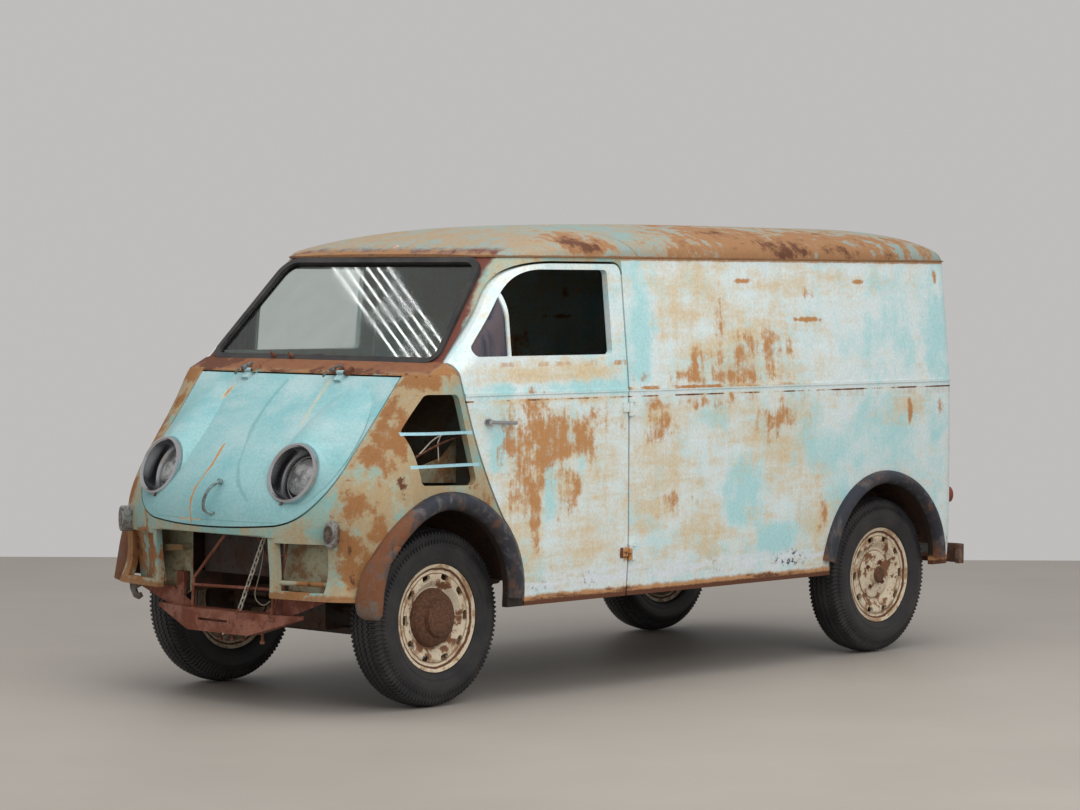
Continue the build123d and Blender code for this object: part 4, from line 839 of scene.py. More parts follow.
def roof_paint():
    """The roof: paint over the cab, brown rust along the load body."""
    material, tree, shader, place = new_material("roof_paint")
    y, z = tree.split(place)[1:]
    field = weather(tree, place, 4.0)
    coarse = tree.noise(tree.stretch(place, (1.0, 0.6, 1.0)), 4.0, 7.0, 0.68)
    paint = tree.mix(tree.ramp(coarse, 0.42, 0.56), rgba(124, 150, 148), rgba(140, 146, 136))
    shoulder = patches(tree, place, over_rail(ROOF_RUST), 0.5)
    spread = patches(tree, place, over_rail(ROOF_STAIN), 0.6)
    front_edge = tree.times(tree.ramp(y, BODY_Y + 0.56, BODY_Y + 0.46), 0.7)
    edge = band(tree, place, DRIP_Z + 0.003, 0.006, 0.005)
    stain = grown(tree, field, tree.any_of(spread, front_edge), 0.20, 0.52, 0.68)
    broad = grown(tree, field, tree.any_of(shoulder, front_edge), 0.25, 0.56, 0.72)
    rust = tree.any_of(broad, tree.times(edge, 0.8))
    deep = grown(tree, tree.blend(coarse, field, 0.5), shoulder, 0.17, 0.57, 0.80)
    old = tree.any_of(deep, tree.times(edge, 0.5))
    lean = tree.plus(tree.minus(y, BODY_Y + 1.251), tree.swing(z, 1.831, 0.785))
    seam = tree.ramp(tree.size(lean), 0.005, 0.002)
    paint = tree.mix(primer_mask(tree, place), paint, solid(bpy.context.scene.van_paint.primer))
    paint = tree.mix(tree.times(seam, 0.7), paint, rgba(74, 72, 64))
    masks = (stain, rust, old)
    rusting_panel(tree, shader, place, paint, masks, rgba(156, 134, 106), rgba(148, 110, 78))
    return material


def lip_paint():
    """The arch lips' black paint, scuffed, worn to brown rust towards the nose and at the lower ends."""
    material, tree, shader, place = new_material("lip_paint")
    y, z = tree.split(place)[1:]
    ends = tree.times(tree.ramp(z, 0.60, 0.42), 0.8)
    nose_end = tree.times(tree.ramp(y, BODY_Y - 0.10, BODY_Y - 0.22), tree.ramp(z, 0.40, 0.50))
    rubbed = tree.times(tree.ramp(y, BODY_Y - 0.28, BODY_Y - 0.34), tree.ramp(z, 0.66, 0.50))
    worn = grown(tree, weather(tree, place, 3.0), tree.any_of(ends, nose_end), 0.16, 0.50, 0.68)
    chips = blotches(tree, place, 16.0, 0.40, 0.06)
    paint = tree.mix(chips, rgba(48, 50, 58), rgba(84, 86, 92))
    pale = tree.any_of(tree.times(streaks(tree, place, 16.0, 7.0, 0.34), 0.4), tree.times(rubbed, 0.5))
    paint = tree.mix(pale, paint, rgba(126, 130, 122))
    masks = (tree.times(worn, 0.8), tree.times(worn, 0.75), tree.times(chips, 0.45))
    colours = (rgba(112, 86, 68), rgba(116, 74, 50), rgba(56, 44, 40))
    rusting(tree, shader, place, paint, masks, colours)
    return material


def worn_metal(name, light, dark, deep, share, scale=9.0, metallic=0.0):
    """A plain metal part gone to rust: light and dark rust over a deeper one."""
    material, tree, shader, place = new_material(name)
    cloud = blotches(tree, place, scale, share, 0.12)
    flecks = blotches(tree, place, scale * 5.0, 0.45, 0.08)
    masks = (tree.times(cloud, 0.8), tree.times(cloud, 0.75), tree.times(flecks, 0.55))
    rusting(tree, shader, place, rgba(*light), masks, (rgba(*dark), rgba(*dark), rgba(*deep)), 0.0015)
    shader.inputs["Metallic"].default_value = metallic
    return material


# the rusty grooves round a wheel: radius, half width and strength
WHEEL_GROOVES = ((0.200, 0.007, 1.0), (0.181, 0.004, 0.7), (0.111, 0.005, 0.6))


def wheel_paint(name, centre_y, hub_radius):
    """Cream wheel paint with rust in the rim's grooves and a rusty hub."""
    material, tree, shader, place = new_material(name)
    offset = tree.vector("SUBTRACT", place, (0.0, centre_y, WHEEL_Z))
    radius = tree.length(tree.stretch(offset, (0.0, 1.0, 1.0)))
    reach = tree.plus(radius, tree.swing(tree.noise(place, 14.0, 6.0, 0.68), 0.5, 0.016))
    drawn = []
    for middle, half, strength in WHEEL_GROOVES:
        drawn.append(tree.times(stripe(tree, reach, middle, half, half * 0.4), strength))
    grooves = tree.any_of(*drawn)
    hub = tree.ramp(radius, hub_radius + 0.002, hub_radius - 0.002)
    chips = blotches(tree, place, 14.0, 0.47, 0.07)
    flakes = blotches(tree, place, 34.0, 0.40, 0.05)
    inner = tree.ramp(radius, 0.165, 0.145, 0.0, 0.8)
    worn = tree.times(tree.any_of(chips, flakes), tree.plus(0.55, inner, clamp=True))
    stain = tree.times(tree.any_of(chips, grooves), 0.7)
    old = tree.any_of(tree.times(hub, 0.62), tree.times(grooves, 0.6), tree.times(flakes, 0.35))
    masks = (stain, tree.any_of(grooves, worn, hub), old)
    colours = (rgba(176, 140, 102), rgba(120, 84, 62), rgba(70, 50, 42))
    rusting(tree, shader, place, rgba(204, 190, 166), masks, colours)
    return material


def dusty(name, colour, dust, amount):
    """A dark moulded or painted part under a dusty film."""
    material, tree, shader, place = new_material(name)
    made = tree.group("Dust Film", Vector=place, Color=rgba(*colour), Dust=rgba(*dust), Amount=amount)
    skin(tree, shader, made["Color"], made["Roughness"])
    bump(tree, shader, made["Height"], 0.0003)
    return material


def lens_glass(name, colour):
    """A ribbed lamp lens under dust."""
    material, tree, shader, place = new_material(name)
    made = tree.group("Dust Film", Vector=place, Color=rgba(*colour), Dust=rgba(150, 130, 110), Amount=0.5)
    skin(tree, shader, made["Color"], tree.minus(made["Roughness"], 0.3, clamp=True))
    bump(tree, shader, tree.math("SINE", tree.times(tree.split(place)[2], 900.0)), 0.0004)
    return material


def lamp_glass():
    """The loose headlamp glass over its reflector: bright, fluted and dusty."""
    material, tree, shader, place = new_material("lamp_glass")
    cloud = blotches(tree, place, 16.0, 0.5, 0.12)
    colour = tree.mix(cloud, rgba(206, 208, 208), rgba(120, 122, 122))
    skin(tree, shader, colour, tree.ramp(cloud, 0.0, 1.0, 0.10, 0.26))
    shader.inputs["Metallic"].default_value = 0.75
    bump(tree, shader, tree.math("SINE", tree.times(tree.split(place)[0], 700.0)), 0.0005)
    return material


def glass(name, colour, roughness):
    """Clear window glass with a faint film of dust."""
    material, tree, shader, place = new_material(name)
    film = blotches(tree, place, 4.0, 0.5, 0.2)
    clear = tint(*colour)
    colours = tree.mix(film, solid(clear), shaded(clear, 0.92))
    skin(tree, shader, colours, tree.ramp(film, 0.0, 1.0, roughness, roughness + 0.04))
    shader.inputs["Transmission Weight"].default_value = 1.0
    shader.inputs["IOR"].default_value = 1.45
    return material


def old_glass():
    """The quarter window's glass, opaque, painted dark blue-grey as painted shade of the cab behind it, with
    streaks of dirt.
    """
    material, tree, shader, place = new_material("old_glass")
    dirt = streaks(tree, place, 14.0, 5.0, 0.5)
    # painted shade: the dark blue-grey base stands in for the shaded cab seen through the glass; the brownish
    # streaks are dirt
    colour = tree.mix(dirt, rgba(46, 52, 68), rgba(84, 76, 80))
    skin(tree, shader, colour, tree.ramp(dirt, 0.0, 1.0, 0.12, 0.4))
    return material


def chrome():
    """Dull plated metal with fine pitting."""
    material, tree, shader, place = new_material("dull_chrome")
    pits = blotches(tree, place, 60.0, 0.36, 0.05)
    colour = tree.mix(tree.times(pits, 0.7), rgba(188, 190, 194), rgba(110, 84, 64))
    polish = tree.ramp(tree.noise(place, 18.0, 4.0, 0.6), 0.3, 0.7, 0.18, 0.36)
    skin(tree, shader, colour, tree.plus(polish, tree.times(pits, 0.3)))
    shader.inputs["Metallic"].default_value = 1.0
    bump(tree, shader, pits, 0.0003)
    return material


LAMP_TILT = math.radians(19.6)
LAMP_SPREAD = math.radians(4.8)
LAMP_BORE = 0.090


def lamp_axis(side):
    """A headlamp's centre and the way it looks, on the side whose x has this sign."""
    level = math.cos(LAMP_TILT)
    look = Vector((side * math.sin(LAMP_SPREAD), -math.cos(LAMP_SPREAD) * level, math.sin(LAMP_TILT)))
    return at(side * 0.401, -0.422, 0.941), look


def lamp_metal():
    """The lamp rings' dull plating, and the inside of their empty buckets, painted near black: painted shade
    over brown rust.
    """
    material, tree, shader, place = new_material("lamp_metal")
    inside = []
    for side in (-1.0, 1.0):
        centre, look = lamp_axis(side)
        offset = tree.vector("SUBTRACT", place, centre)
        along = tree.ramp(tree.vector("DOT_PRODUCT", offset, look), -0.004, -0.010)
        aside = tree.length(tree.vector("CROSS_PRODUCT", offset, look))
        inside.append(tree.times(along, tree.ramp(aside, LAMP_BORE + 0.0005, LAMP_BORE - 0.0005)))
    bucket = tree.any_of(*inside)
    pits = blotches(tree, place, 60.0, 0.34, 0.05)
    plated = tree.mix(tree.times(pits, 0.6), rgba(196, 198, 202), rgba(116, 100, 88))
    # painted shade: the buckets' insides are painted near black over brown rust
    dark = tree.mix(blotches(tree, place, 22.0, 0.45, 0.08), rgba(36, 28, 26), rgba(74, 52, 42))
    skin(tree, shader, tree.mix(bucket, plated, dark), tree.ramp(bucket, 0.0, 1.0, 0.22, 0.75))
    tree.feed(shader.inputs["Metallic"], tree.inverse(bucket))
    bump(tree, shader, pits, 0.0004)
    return material


def signal_finish():
    """Tarnished rims round the front side lamps' dark, dusty lenses."""
    material, tree, shader, place = new_material("signal_metal")
    middle, half_width, half_height = (0.634, 0.0, 0.727), 0.019, 0.036
    offset = tree.vector("SUBTRACT", tree.vector("ABSOLUTE", place), middle)
    reach = tree.length(tree.stretch(offset, (1.0 / half_width, 0.0, 1.0 / half_height)))
    lens = tree.ramp(reach, 1.05, 0.97)
    spots = blotches(tree, place, 60.0, 0.45, 0.10)
    metal = tree.mix(spots, rgba(150, 152, 150), rgba(104, 98, 92))
    glazed = tree.mix(spots, rgba(74, 62, 56), rgba(112, 100, 90))
    skin(tree, shader, tree.mix(lens, metal, glazed), tree.ramp(lens, 0.0, 1.0, 0.5, 0.22))
    tree.feed(shader.inputs["Metallic"], tree.ramp(lens, 0.0, 1.0, 0.5, 0.0))
    bump(tree, shader, tree.ramp(reach, 1.10, 1.0), 0.003)
    return material


def leather(name, colour):
    """Leathercloth with a fine pebble grain, creases and rubbed patches."""
    material, tree, shader, place = new_material(name)
    hide = tint(*colour)
    cells = tree.node("ShaderNodeTexVoronoi", {"Vector": place, "Scale": 320.0}).outputs["Distance"]
    folds = {"Vector": place, "Scale": 26.0}
    creases = tree.node("ShaderNodeTexVoronoi", folds, feature="DISTANCE_TO_EDGE").outputs["Distance"]
    rubbed = blotches(tree, place, 5.0, 0.45, 0.15)
    colours = tree.mix(rubbed, solid(hide), shaded(hide, 1.9))
    skin(tree, shader, colours, tree.ramp(rubbed, 0.0, 1.0, 0.62, 0.45))
    bump(tree, shader, tree.plus(tree.times(cells, 0.5), tree.ramp(creases, 0.0, 0.02)), 0.0006)
    return material


def dress(material, *nodes):
    """Gives frame nodes their finish."""
    for node in nodes:
        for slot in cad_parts[node].material_slots:
            slot.material = material


# ---------------------------------------------------------------- mesh helpers
def mesh_piece(name, shapes, material, body, smooth=True):
    """A new piece from one or more shapes, riding on a body."""
    vertices, faces = [], []
    for points, sides in shapes:
        start = len(vertices)
        vertices.extend(points)
        faces.extend(tuple(start + corner for corner in face) for face in sides)
    mesh = bpy.data.meshes.new(name)
    mesh.from_pydata(vertices, [], faces)
    mesh.validate()
    form = bmesh.new()
    form.from_mesh(mesh)
    bmesh.ops.recalc_face_normals(form, faces=form.faces)
    form.to_mesh(mesh)
    form.free()
    for polygon in mesh.polygons:
        polygon.use_smooth = smooth
    mesh.materials.append(material)
    piece = bpy.data.objects.new(name, mesh)
    bpy.context.scene.collection.objects.link(piece)
    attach(piece, body)
    return piece


def grid_faces(rows, columns, close_rows=False, close_columns=False):
    """Quads over a grid of rows and columns of points."""
    faces = []
    for row in range(rows if close_rows else rows - 1):
        after = (row + 1) % rows
        for column in range(columns if close_columns else columns - 1):
            beside = (column + 1) % columns
            here, there = row * columns, after * columns
            faces.append((here + column, here + beside, there + beside, there + column))
    return faces


def closed_sheets(rows, columns):
    """Faces of two like grids joined round their border, and the first grid's border in turn."""
    sheet = grid_faces(rows, columns)
    count = rows * columns
    faces = sheet + [tuple(count + corner for corner in face) for face in sheet]
    border = [row * columns for row in range(rows)]
    border += [(rows - 1) * columns + column for column in range(1, columns)]
    border += [row * columns + columns - 1 for row in range(rows - 2, -1, -1)]
    border += list(range(columns - 2, 0, -1))
    for first, second in zip(border, border[1:] + border[:1]):
        faces.append((first, second, count + second, count + first))
    return faces, border


# a slanting direction that no rod or turned piece runs along
ASLANT = Vector((0.13, 0.21, 0.97))


def circle(middle, along, radius, sides):
    """Places round a circle square to a direction."""
    side = along.cross(ASLANT).normalized()
    other = along.cross(side)
    places = []
    for step in range(sides):
        turn = 2 * math.pi * step / sides
        places.append(middle + side * radius * math.cos(turn) + other * radius * math.sin(turn))
    return places


def capped(vertices, sides):
    """Rings of places as a closed form: its vertices and faces."""
    count = len(vertices)
    faces = grid_faces(count // sides, sides, close_columns=True)
    return vertices, faces + [tuple(range(sides)), tuple(range(count - sides, count))]


def tube(points, radius, sides=8):
    """A round tube along a list of points."""
    vertices = []
    for index, point in enumerate(points):
        before, after = points[max(index - 1, 0)], points[min(index + 1, len(points) - 1)]
        vertices += circle(point, (after - before).normalized(), radius, sides)
    return capped(vertices, sides)


def closed_tube(points, radius, sides=8):
    """A round tube along a closed ring of points."""
    vertices = []
    for index, point in enumerate(points):
        along = (points[(index + 1) % len(points)] - points[index - 1]).normalized()
        vertices += circle(point, along, radius, sides)
    return vertices, grid_faces(len(points), sides, close_rows=True, close_columns=True)


def turned(profile, origin, axis, sides=24):
    """A turned form from distances along its axis and radii, capped at both ends."""
    axis = Vector(axis).normalized()
    vertices = []
    for along, radius in profile:
        vertices += circle(origin + axis * along, axis, radius, sides)
    return capped(vertices, sides)


def plate(outline, thickness):
    """A flat plate from its outline's places and the way it is thick."""
    count = len(outline)
    vertices = outline + [point + Vector(thickness) for point in outline]
    faces = [tuple(range(count)), tuple(range(count, 2 * count))]
    for index in range(count):
        after = (index + 1) % count
        faces.append((index, after, count + after, count + index))
    return vertices, faces


ROUTE_STEPS = 6


def bent(places, radius, sides=8):
    """A rod or wire through a few places from the datum, rounded between them."""
    curve = bpy.data.curves.new("route", "CURVE")
    curve.dimensions = "3D"
    curve.resolution_u = ROUTE_STEPS
    spline = curve.splines.new("NURBS")
    spline.points.add(len(places) - 1)
    for target, place in zip(spline.points, places):
        target.co = (*at(*place), 1.0)
    spline.order_u = 3
    spline.use_endpoint_u = True
    holder = bpy.data.objects.new("route", curve)
    mesh = bpy.data.meshes.new_from_object(holder)
    route = [vertex.co.copy() for vertex in mesh.vertices]
    bpy.data.objects.remove(holder)
    bpy.data.meshes.remove(mesh)
    bpy.data.curves.remove(curve)
    return tube(route, radius, sides)


# ---------------------------------------------------------------- tyres
BEAD_RADIUS = 0.2198
# the tread lies this far inside the plain solid, and falls this far at this distance from its middle
TREAD_GAP, TREAD_FALL, FALL_REACH = 0.0003, 0.0132, 0.064
TREAD_HALF = 0.058
TREAD_LINES = (-0.040, -0.014, 0.014, 0.040)
ZIGZAG = 0.0035
LUG_DEPTH, LUG_REACH = 0.011, 0.056


def tyre_profile(outer_radius):
    """Half section of the tyre, as share across and radius, from the middle of the tread to the bead."""
    crown = outer_radius - TREAD_GAP
    shoulder = outer_radius - 0.0135
    return [
        (0.00, crown),
        (0.22, crown - 0.0007),
        (0.45, crown - 0.0035),
        (0.66, crown - 0.0085),
        (0.75, shoulder),
        (0.80, shoulder - 0.012),
        (0.86, shoulder - 0.028),
        (0.90, shoulder - 0.030),
        (0.955, shoulder - 0.046),
        (0.995, BEAD_RADIUS + 0.070),
        (0.990, BEAD_RADIUS + 0.052),
        (0.950, BEAD_RADIUS + 0.034),
        (0.955, BEAD_RADIUS + 0.028),
        (0.900, BEAD_RADIUS + 0.012),
        (0.830, BEAD_RADIUS + 0.003),
        (0.690, BEAD_RADIUS + 0.001),
    ]


def build_tyre(name, body, node, material):
    """A cross-ply tyre with zigzag grooves and shoulder lugs, in place of its plain solid."""
    settings = bpy.context.scene.van_tyres
    low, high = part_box(node)
    centre = (low + high) / 2
    half_width = (high.x - low.x) / 2
    outer = (high.z - low.z) / 2
    section = [(share * half_width, radius) for share, radius in tyre_profile(outer)]
    wall = [(offset, radius) for offset, radius in section if offset > TREAD_HALF]
    groove, depth = settings.groove_width / 2, settings.groove_depth
    tread = []
    for line_x in TREAD_LINES:
        tread += [(line_x - groove, 0.0), (line_x - groove * 0.7, depth)]
        tread += [(line_x + groove * 0.7, depth), (line_x + groove, 0.0)]
    turns = settings.lugs * 4
    vertices = []
    for index in range(turns):
        phase = index % 4
        zigzag = ZIGZAG if phase < 2 else -ZIGZAG
        cut = LUG_DEPTH if phase >= 2 else 0.0
        shoulder = [(x, radius - cut if radius > outer - LUG_REACH else radius) for x, radius in wall]
        ring = [(-x, radius) for x, radius in reversed(shoulder)]
        for offset, sunk in tread:
            x = offset + zigzag
            ring.append((x, outer - TREAD_GAP - TREAD_FALL * (abs(x) / FALL_REACH) ** 2 - sunk))
        ring += shoulder
        turn = 2 * math.pi * index / turns
        for x, radius in ring:
            y, z = radius * math.cos(turn), radius * math.sin(turn)
            vertices.append(Vector((centre.x + x, centre.y + y, centre.z + z)))
    faces = grid_faces(turns, len(ring), close_rows=True)
    piece = mesh_piece(name, [(vertices, faces)], material, body, smooth=False)
    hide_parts(node)


# ---------------------------------------------------------------- cushions
CUSHION_COLUMNS, CUSHION_ROWS = 144, 48
CHANNELS = 10
CHANNEL_DEPTH, CHANNEL_HALF = 0.010, 0.011
CHANNEL_SWELL = 0.004
PIPING_RADIUS = 0.0045


def cushion(name, centre, size, across, up, crown, material):
    """A stuffed bench cushion: crowned, its sides drawn in, with sewn channels and a piped edge.

    size holds length along x, reach along across and thickness along up. Its underside is flat.
    """
    length, reach, thick = size
    along = Vector((1.0, 0.0, 0.0))
    pitch = length / CHANNELS

    def surface(u, v):
        bulge = (1.0 - u ** 4) * (1.0 - v ** 4)
        edge = (1.0 - abs(u) ** 14) * (1.0 - abs(v) ** 9)
        place = (u * length / 2) / pitch
        seam = abs(place - round(place)) * pitch if abs(round(place)) < CHANNELS / 2 else pitch
        depth = CHANNEL_DEPTH * math.exp(-((seam / CHANNEL_HALF) ** 2)) * min(1.0, (1.0 - abs(v)) * 7.0)
        swell = CHANNEL_SWELL * math.cos(2 * math.pi * place) * min(1.0, (1.0 - abs(v)) * 4.0)
        return thick * (0.5 * edge ** 0.5) + crown * bulge - depth - swell

    def underside(u, v):
        return -thick / 2 * (1.0 - max(abs(u) ** 20, abs(v) ** 14)) ** 0.5

    def outline(u, v):
        drawn_x, drawn_y = 1.0 - 0.02 * (1.0 - v * v), 1.0 - 0.03 * (1.0 - u * u)
        shrink = 1.0 / max(1.0, (abs(u) ** 10 + abs(v) ** 10) ** 0.1)
        return u * drawn_x * shrink * length / 2, v * drawn_y * shrink * reach / 2

    vertices = []
    for height in (surface, underside):
        for row in range(CUSHION_ROWS + 1):
            v = -1.0 + 2.0 * row / CUSHION_ROWS
            for column in range(CUSHION_COLUMNS + 1):
                u = -1.0 + 2.0 * column / CUSHION_COLUMNS
                x, y = outline(u, v)
                vertices.append(centre + along * x + across * y + up * height(u, v))
    faces, border = closed_sheets(CUSHION_ROWS + 1, CUSHION_COLUMNS + 1)
    under = len(vertices) // 2
    welt = [(vertices[corner] + vertices[under + corner]) / 2 for corner in border[::2]]
    shapes = [(vertices, faces), closed_tube(welt, PIPING_RADIUS)]
    piece = mesh_piece(name, shapes, material, "body")
    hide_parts("bench_seat")


# ---------------------------------------------------------------- small parts
UP = Vector((0.0, 0.0, 1.0))
SIDES = (("left", 1.0), ("right", -1.0))


# each wire's radius and route
VENT_WIRES = (
    (0.0028, ((0.70, -0.061, 0.986), (0.70, 0.004, 1.031), (0.70, 0.071, 1.082), (0.74, 0.095, 1.099))),
    (0.0026, ((0.70, 0.113, 1.096), (0.70, 0.083, 1.062), (0.70, 0.090, 1.034), (0.70, 0.092, 0.983))),
    (0.0032, ((0.70, 0.227, 1.097), (0.70, 0.229, 1.066), (0.70, 0.27, 0.99), (0.70, 0.336, 0.887))),
)
VENT_ROD = (
    (0.70, -0.085, 0.985),
    (0.70, -0.063, 0.997),
    (0.70, 0.083, 1.051),
    (0.70, 0.208, 1.081),
    (0.70, 0.25, 1.09),
)
INNER_PLATE = ((0.273, 1.070), (0.180, 0.993), (0.044, 0.956), (0.064, 0.895), (0.365, 0.883), (0.400, 1.070))


def build_vent_wires(pale, rusty):
    """Loose wires, a rod and an inner plate behind the left wing's open vent."""
    wires = [bent(route, radius) for radius, route in VENT_WIRES]
    mesh_piece("vent_wires", wires, pale, "body")
    rod = bent(VENT_ROD, 0.005)
    mesh_piece("vent_rod", [rod], rusty, "body")
    sheet = plate([at(0.620, y, z) for y, z in INNER_PLATE], (0.003, 0.0, 0.0))
    paint = worn_metal("inner_wing_paint", (150, 144, 120), (132, 98, 66), (70, 52, 42), 0.5, 12.0)
    mesh_piece("vent_inner_plate", [sheet], paint, "body", smooth=False)


def build_nose_bolts(material):
    """Bolts hanging from the crossmember and their heads on top of it."""
    shapes = []
    shank_top = 0.300
    for x, low in ((-0.018, 0.248), (0.053, 0.250), (0.120, 0.255), (0.234, 0.251)):
        reach = shank_top - low
        nut = reach - 0.012
        profile = [(0.0, 0.006), (nut, 0.006), (nut, 0.011), (reach, 0.011), (reach, 0.004)]
        shapes.append(turned(profile, at(x, -0.440, shank_top), -UP, 6))
    for x in (-0.10, 0.02, 0.16, 0.30):
        head = [(-0.004, 0.014), (0.0, 0.014), (0.010, 0.013), (0.011, 0.009)]
        shapes.append(turned(head, at(x, -0.445, 0.352), UP, 6))
    mesh_piece("crossmember_bolts", shapes, material, "body", smooth=False)


# rows of the flared end, from where it leaves the lip down to its rounded foot:
# its forward edge, its crown and its edge beside the tyre
FLARE_ROWS = [
    ((0.786, -0.298, 0.672), (0.829, -0.260, 0.668), (0.812, -0.230, 0.655)),
    ((0.752, -0.348, 0.606), (0.814, -0.305, 0.600), (0.778, -0.258, 0.590)),
    ((0.736, -0.375, 0.550), (0.809, -0.325, 0.545), (0.775, -0.276, 0.538)),
    ((0.728, -0.388, 0.492), (0.808, -0.338, 0.490), (0.772, -0.288, 0.485)),
    ((0.724, -0.393, 0.438), (0.808, -0.345, 0.436), (0.772, -0.293, 0.430)),
    ((0.728, -0.386, 0.400), (0.806, -0.345, 0.398), (0.775, -0.300, 0.396)),
    ((0.745, -0.366, 0.380), (0.796, -0.343, 0.379), (0.780, -0.318, 0.378)),
]
FLARE_STEPS = 14
FLARE_THICKNESS = Vector((0.0035, -0.0020, 0.0))


def build_lip_flare(material):
    """The broad flared lower end of the left front arch lip; the right one has none."""
    outer = []
    for row in FLARE_ROWS:
        first, middle, last = (at(*place) for place in row)
        for step in range(FLARE_STEPS + 1):
            t = step / FLARE_STEPS
            outer.append(first * (1 - t) * (1 - 2 * t) + middle * 4 * t * (1 - t) + last * t * (2 * t - 1))
    inner = [point - FLARE_THICKNESS for point in outer]
    faces = closed_sheets(len(FLARE_ROWS), FLARE_STEPS + 1)[0]
    mesh_piece("left_front_lip_flare", [(outer + inner, faces)], material, "body")


def build_hinge_plate(material):
    """The brown plate over the left door's lower hinge."""
    corners = ((1.084, 0.542), (1.150, 0.546), (1.148, 0.588), (1.086, 0.584))
    sheet = plate([at(0.799, y, z) for y, z in corners], (0.006, 0.0, 0.0))
    mesh_piece("door_hinge_plate", [sheet], material, "body", smooth=False)


def build_roof_lamp_base(material):
    """The bare base of a lamp that once stood over the windscreen."""
    profile = [(-0.010, 0.020), (0.002, 0.020), (0.008, 0.018), (0.013, 0.013), (0.015, 0.006)]
    base = turned(profile, at(0.0, 0.536, 1.847), (0.0, -0.45, 0.9))
    mesh_piece("roof_lamp_base", [base], material, "body")


NUT_CIRCLE = 0.066
HUB_FACE = 0.711


def build_wheel_nuts(material):
    """Four nuts on each rear wheel."""
    profile = [(-0.010, 0.011), (0.006, 0.011), (0.008, 0.009), (0.008, 0.006), (0.013, 0.006)]
    for side, sign in SIDES:
        low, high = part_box(f"rear_{side}_wheel")
        centre = (low + high) / 2
        nuts = []
        for step in range(4):
            turn = math.radians(56.0 + 90.0 * step)
            y, z = NUT_CIRCLE * math.cos(turn), NUT_CIRCLE * math.sin(turn)
            base = Vector((sign * HUB_FACE, centre.y + y, centre.z + z))
            nuts.append(turned(profile, base, (sign, 0.0, 0.0), 6))
        body = f"rear_{side}_wheel"
        mesh_piece(f"{body}_nuts", nuts, material, body, smooth=False)


LENS_RADIUS, LENS_DOME = 0.0785, 0.030
LENS_STEPS = 12


def build_lamp_lens(side, sign, material):
    """A headlamp's loose glass, tipped back inside its bucket."""
    centre, look = lamp_axis(sign)
    up = (UP - look * look.z).normalized()
    profile = [(-0.078, 0.050), (-0.066, 0.070)]
    for step in range(LENS_STEPS + 1):
        turn = step / LENS_STEPS * math.pi / 2
        profile.append((-0.058 + LENS_DOME * math.sin(turn), LENS_RADIUS * math.cos(turn) + 0.0004))
    seat = centre + up * 0.0075 + up.cross(look) * 0.004
    lens = turned(profile, seat, look + up * 0.08, 48)
    mesh_piece(f"{side}_lamp_lens", [lens], material, "hood")


# the arms' routes, with x taken from each hinge's own
LOWER_ARM = ((-0.030, -0.086, 1.318), (-0.024, -0.078, 1.330), (-0.021, -0.071, 1.340))
UPPER_ARM = ((-0.004, -0.064, 1.350), (0.018, -0.052, 1.358), (0.036, -0.040, 1.366))
ARM_RADIUS = 0.0055


def build_hinge_arms(material):
    """The small lever arms over the hood's hinges, each split at its barrel."""
    moving, fixed = [], []
    for x in (-0.300, 0.238):
        moving.append(bent([(x + out, y, z) for out, y, z in LOWER_ARM], ARM_RADIUS))
        fixed.append(bent([(x + out, y, z) for out, y, z in UPPER_ARM], ARM_RADIUS))
        fixed.append(turned([(-0.012, 0.009), (0.012, 0.009)], at(x, -0.060, 1.347), (1.0, 0.0, 0.0), 12))
    mesh_piece("hood_hinge_arms", moving, material, "hood")
    mesh_piece("hood_hinge_barrels", fixed, material, "body")


NOSE_PANEL_Y = -0.385
BRACE_Y = -0.440
# outlines in x and z, seen from ahead
FAR_PANEL = ((-0.475, 0.685), (-0.253, 0.690), (-0.253, 0.432), (-0.395, 0.372), (-0.475, 0.440))
NEAR_PANEL = ((0.300, 0.668), (0.596, 0.668), (0.596, 0.500), (0.570, 0.470), (0.300, 0.470))
SHELF = ((-0.372, 0.618), (-0.256, 0.624), (-0.256, 0.600), (-0.372, 0.592))
CABLE = (
    (0.262, 0.640),
    (0.257, 0.590),
    (0.226, 0.500),
    (0.206, 0.450),
    (0.222, 0.420),
    (0.270, 0.404),
    (0.300, 0.430),
)
TOW_HOOK = (
    (-0.628, 0.452),
    (-0.622, 0.415),
    (-0.600, 0.382),
    (-0.572, 0.374),
    (-0.548, 0.388),
    (-0.560, 0.404),
    (-0.578, 0.400),
    (-0.588, 0.418),
    (-0.560, 0.430),
    (-0.520, 0.452),
)


def upright_plate(outline, y, thickness):
    """A plate across the van from an outline in x and z."""
    return plate([at(x, y, z) for x, z in outline], (0.0, thickness, 0.0))


def build_nose_panels(cream, rusty, steel, cable):
    """The inner panels, extra brace, cable and tow hook seen through the open nose."""
    panels = [upright_plate(outline, NOSE_PANEL_Y, 0.003) for outline in (FAR_PANEL, NEAR_PANEL)]
    panels.append(upright_plate(SHELF, NOSE_PANEL_Y - 0.052, 0.050))
    mesh_piece("nose_inner_panels", panels, cream, "body", smooth=False)
    route = ((0.386, 0.690), (0.356, 0.545), (0.326, 0.462), (0.302, 0.374))
    post = bent([(x, BRACE_Y, z) for x, z in route], 0.006)
    rung = tube([at(0.326, BRACE_Y, 0.615), at(0.374, BRACE_Y, 0.617)], 0.006)
    mesh_piece("nose_brace_post", [post, rung], rusty, "body")
    loop = bent([(x, BRACE_Y - 0.018, z) for x, z in CABLE], 0.0024)
    mesh_piece("nose_cable", [loop], cable, "body")
    hook = upright_plate(TOW_HOOK, -0.412, 0.010)
    mesh_piece("tow_hook", [hook], steel, "body", smooth=False)


BOW_HANDLE = (
    (0.048, -0.500, 0.902),
    (0.050, -0.550, 0.886),
    (0.036, -0.572, 0.846),
    (0.022, -0.572, 0.806),
    (0.030, -0.568, 0.776),
    (0.052, -0.530, 0.768),
)


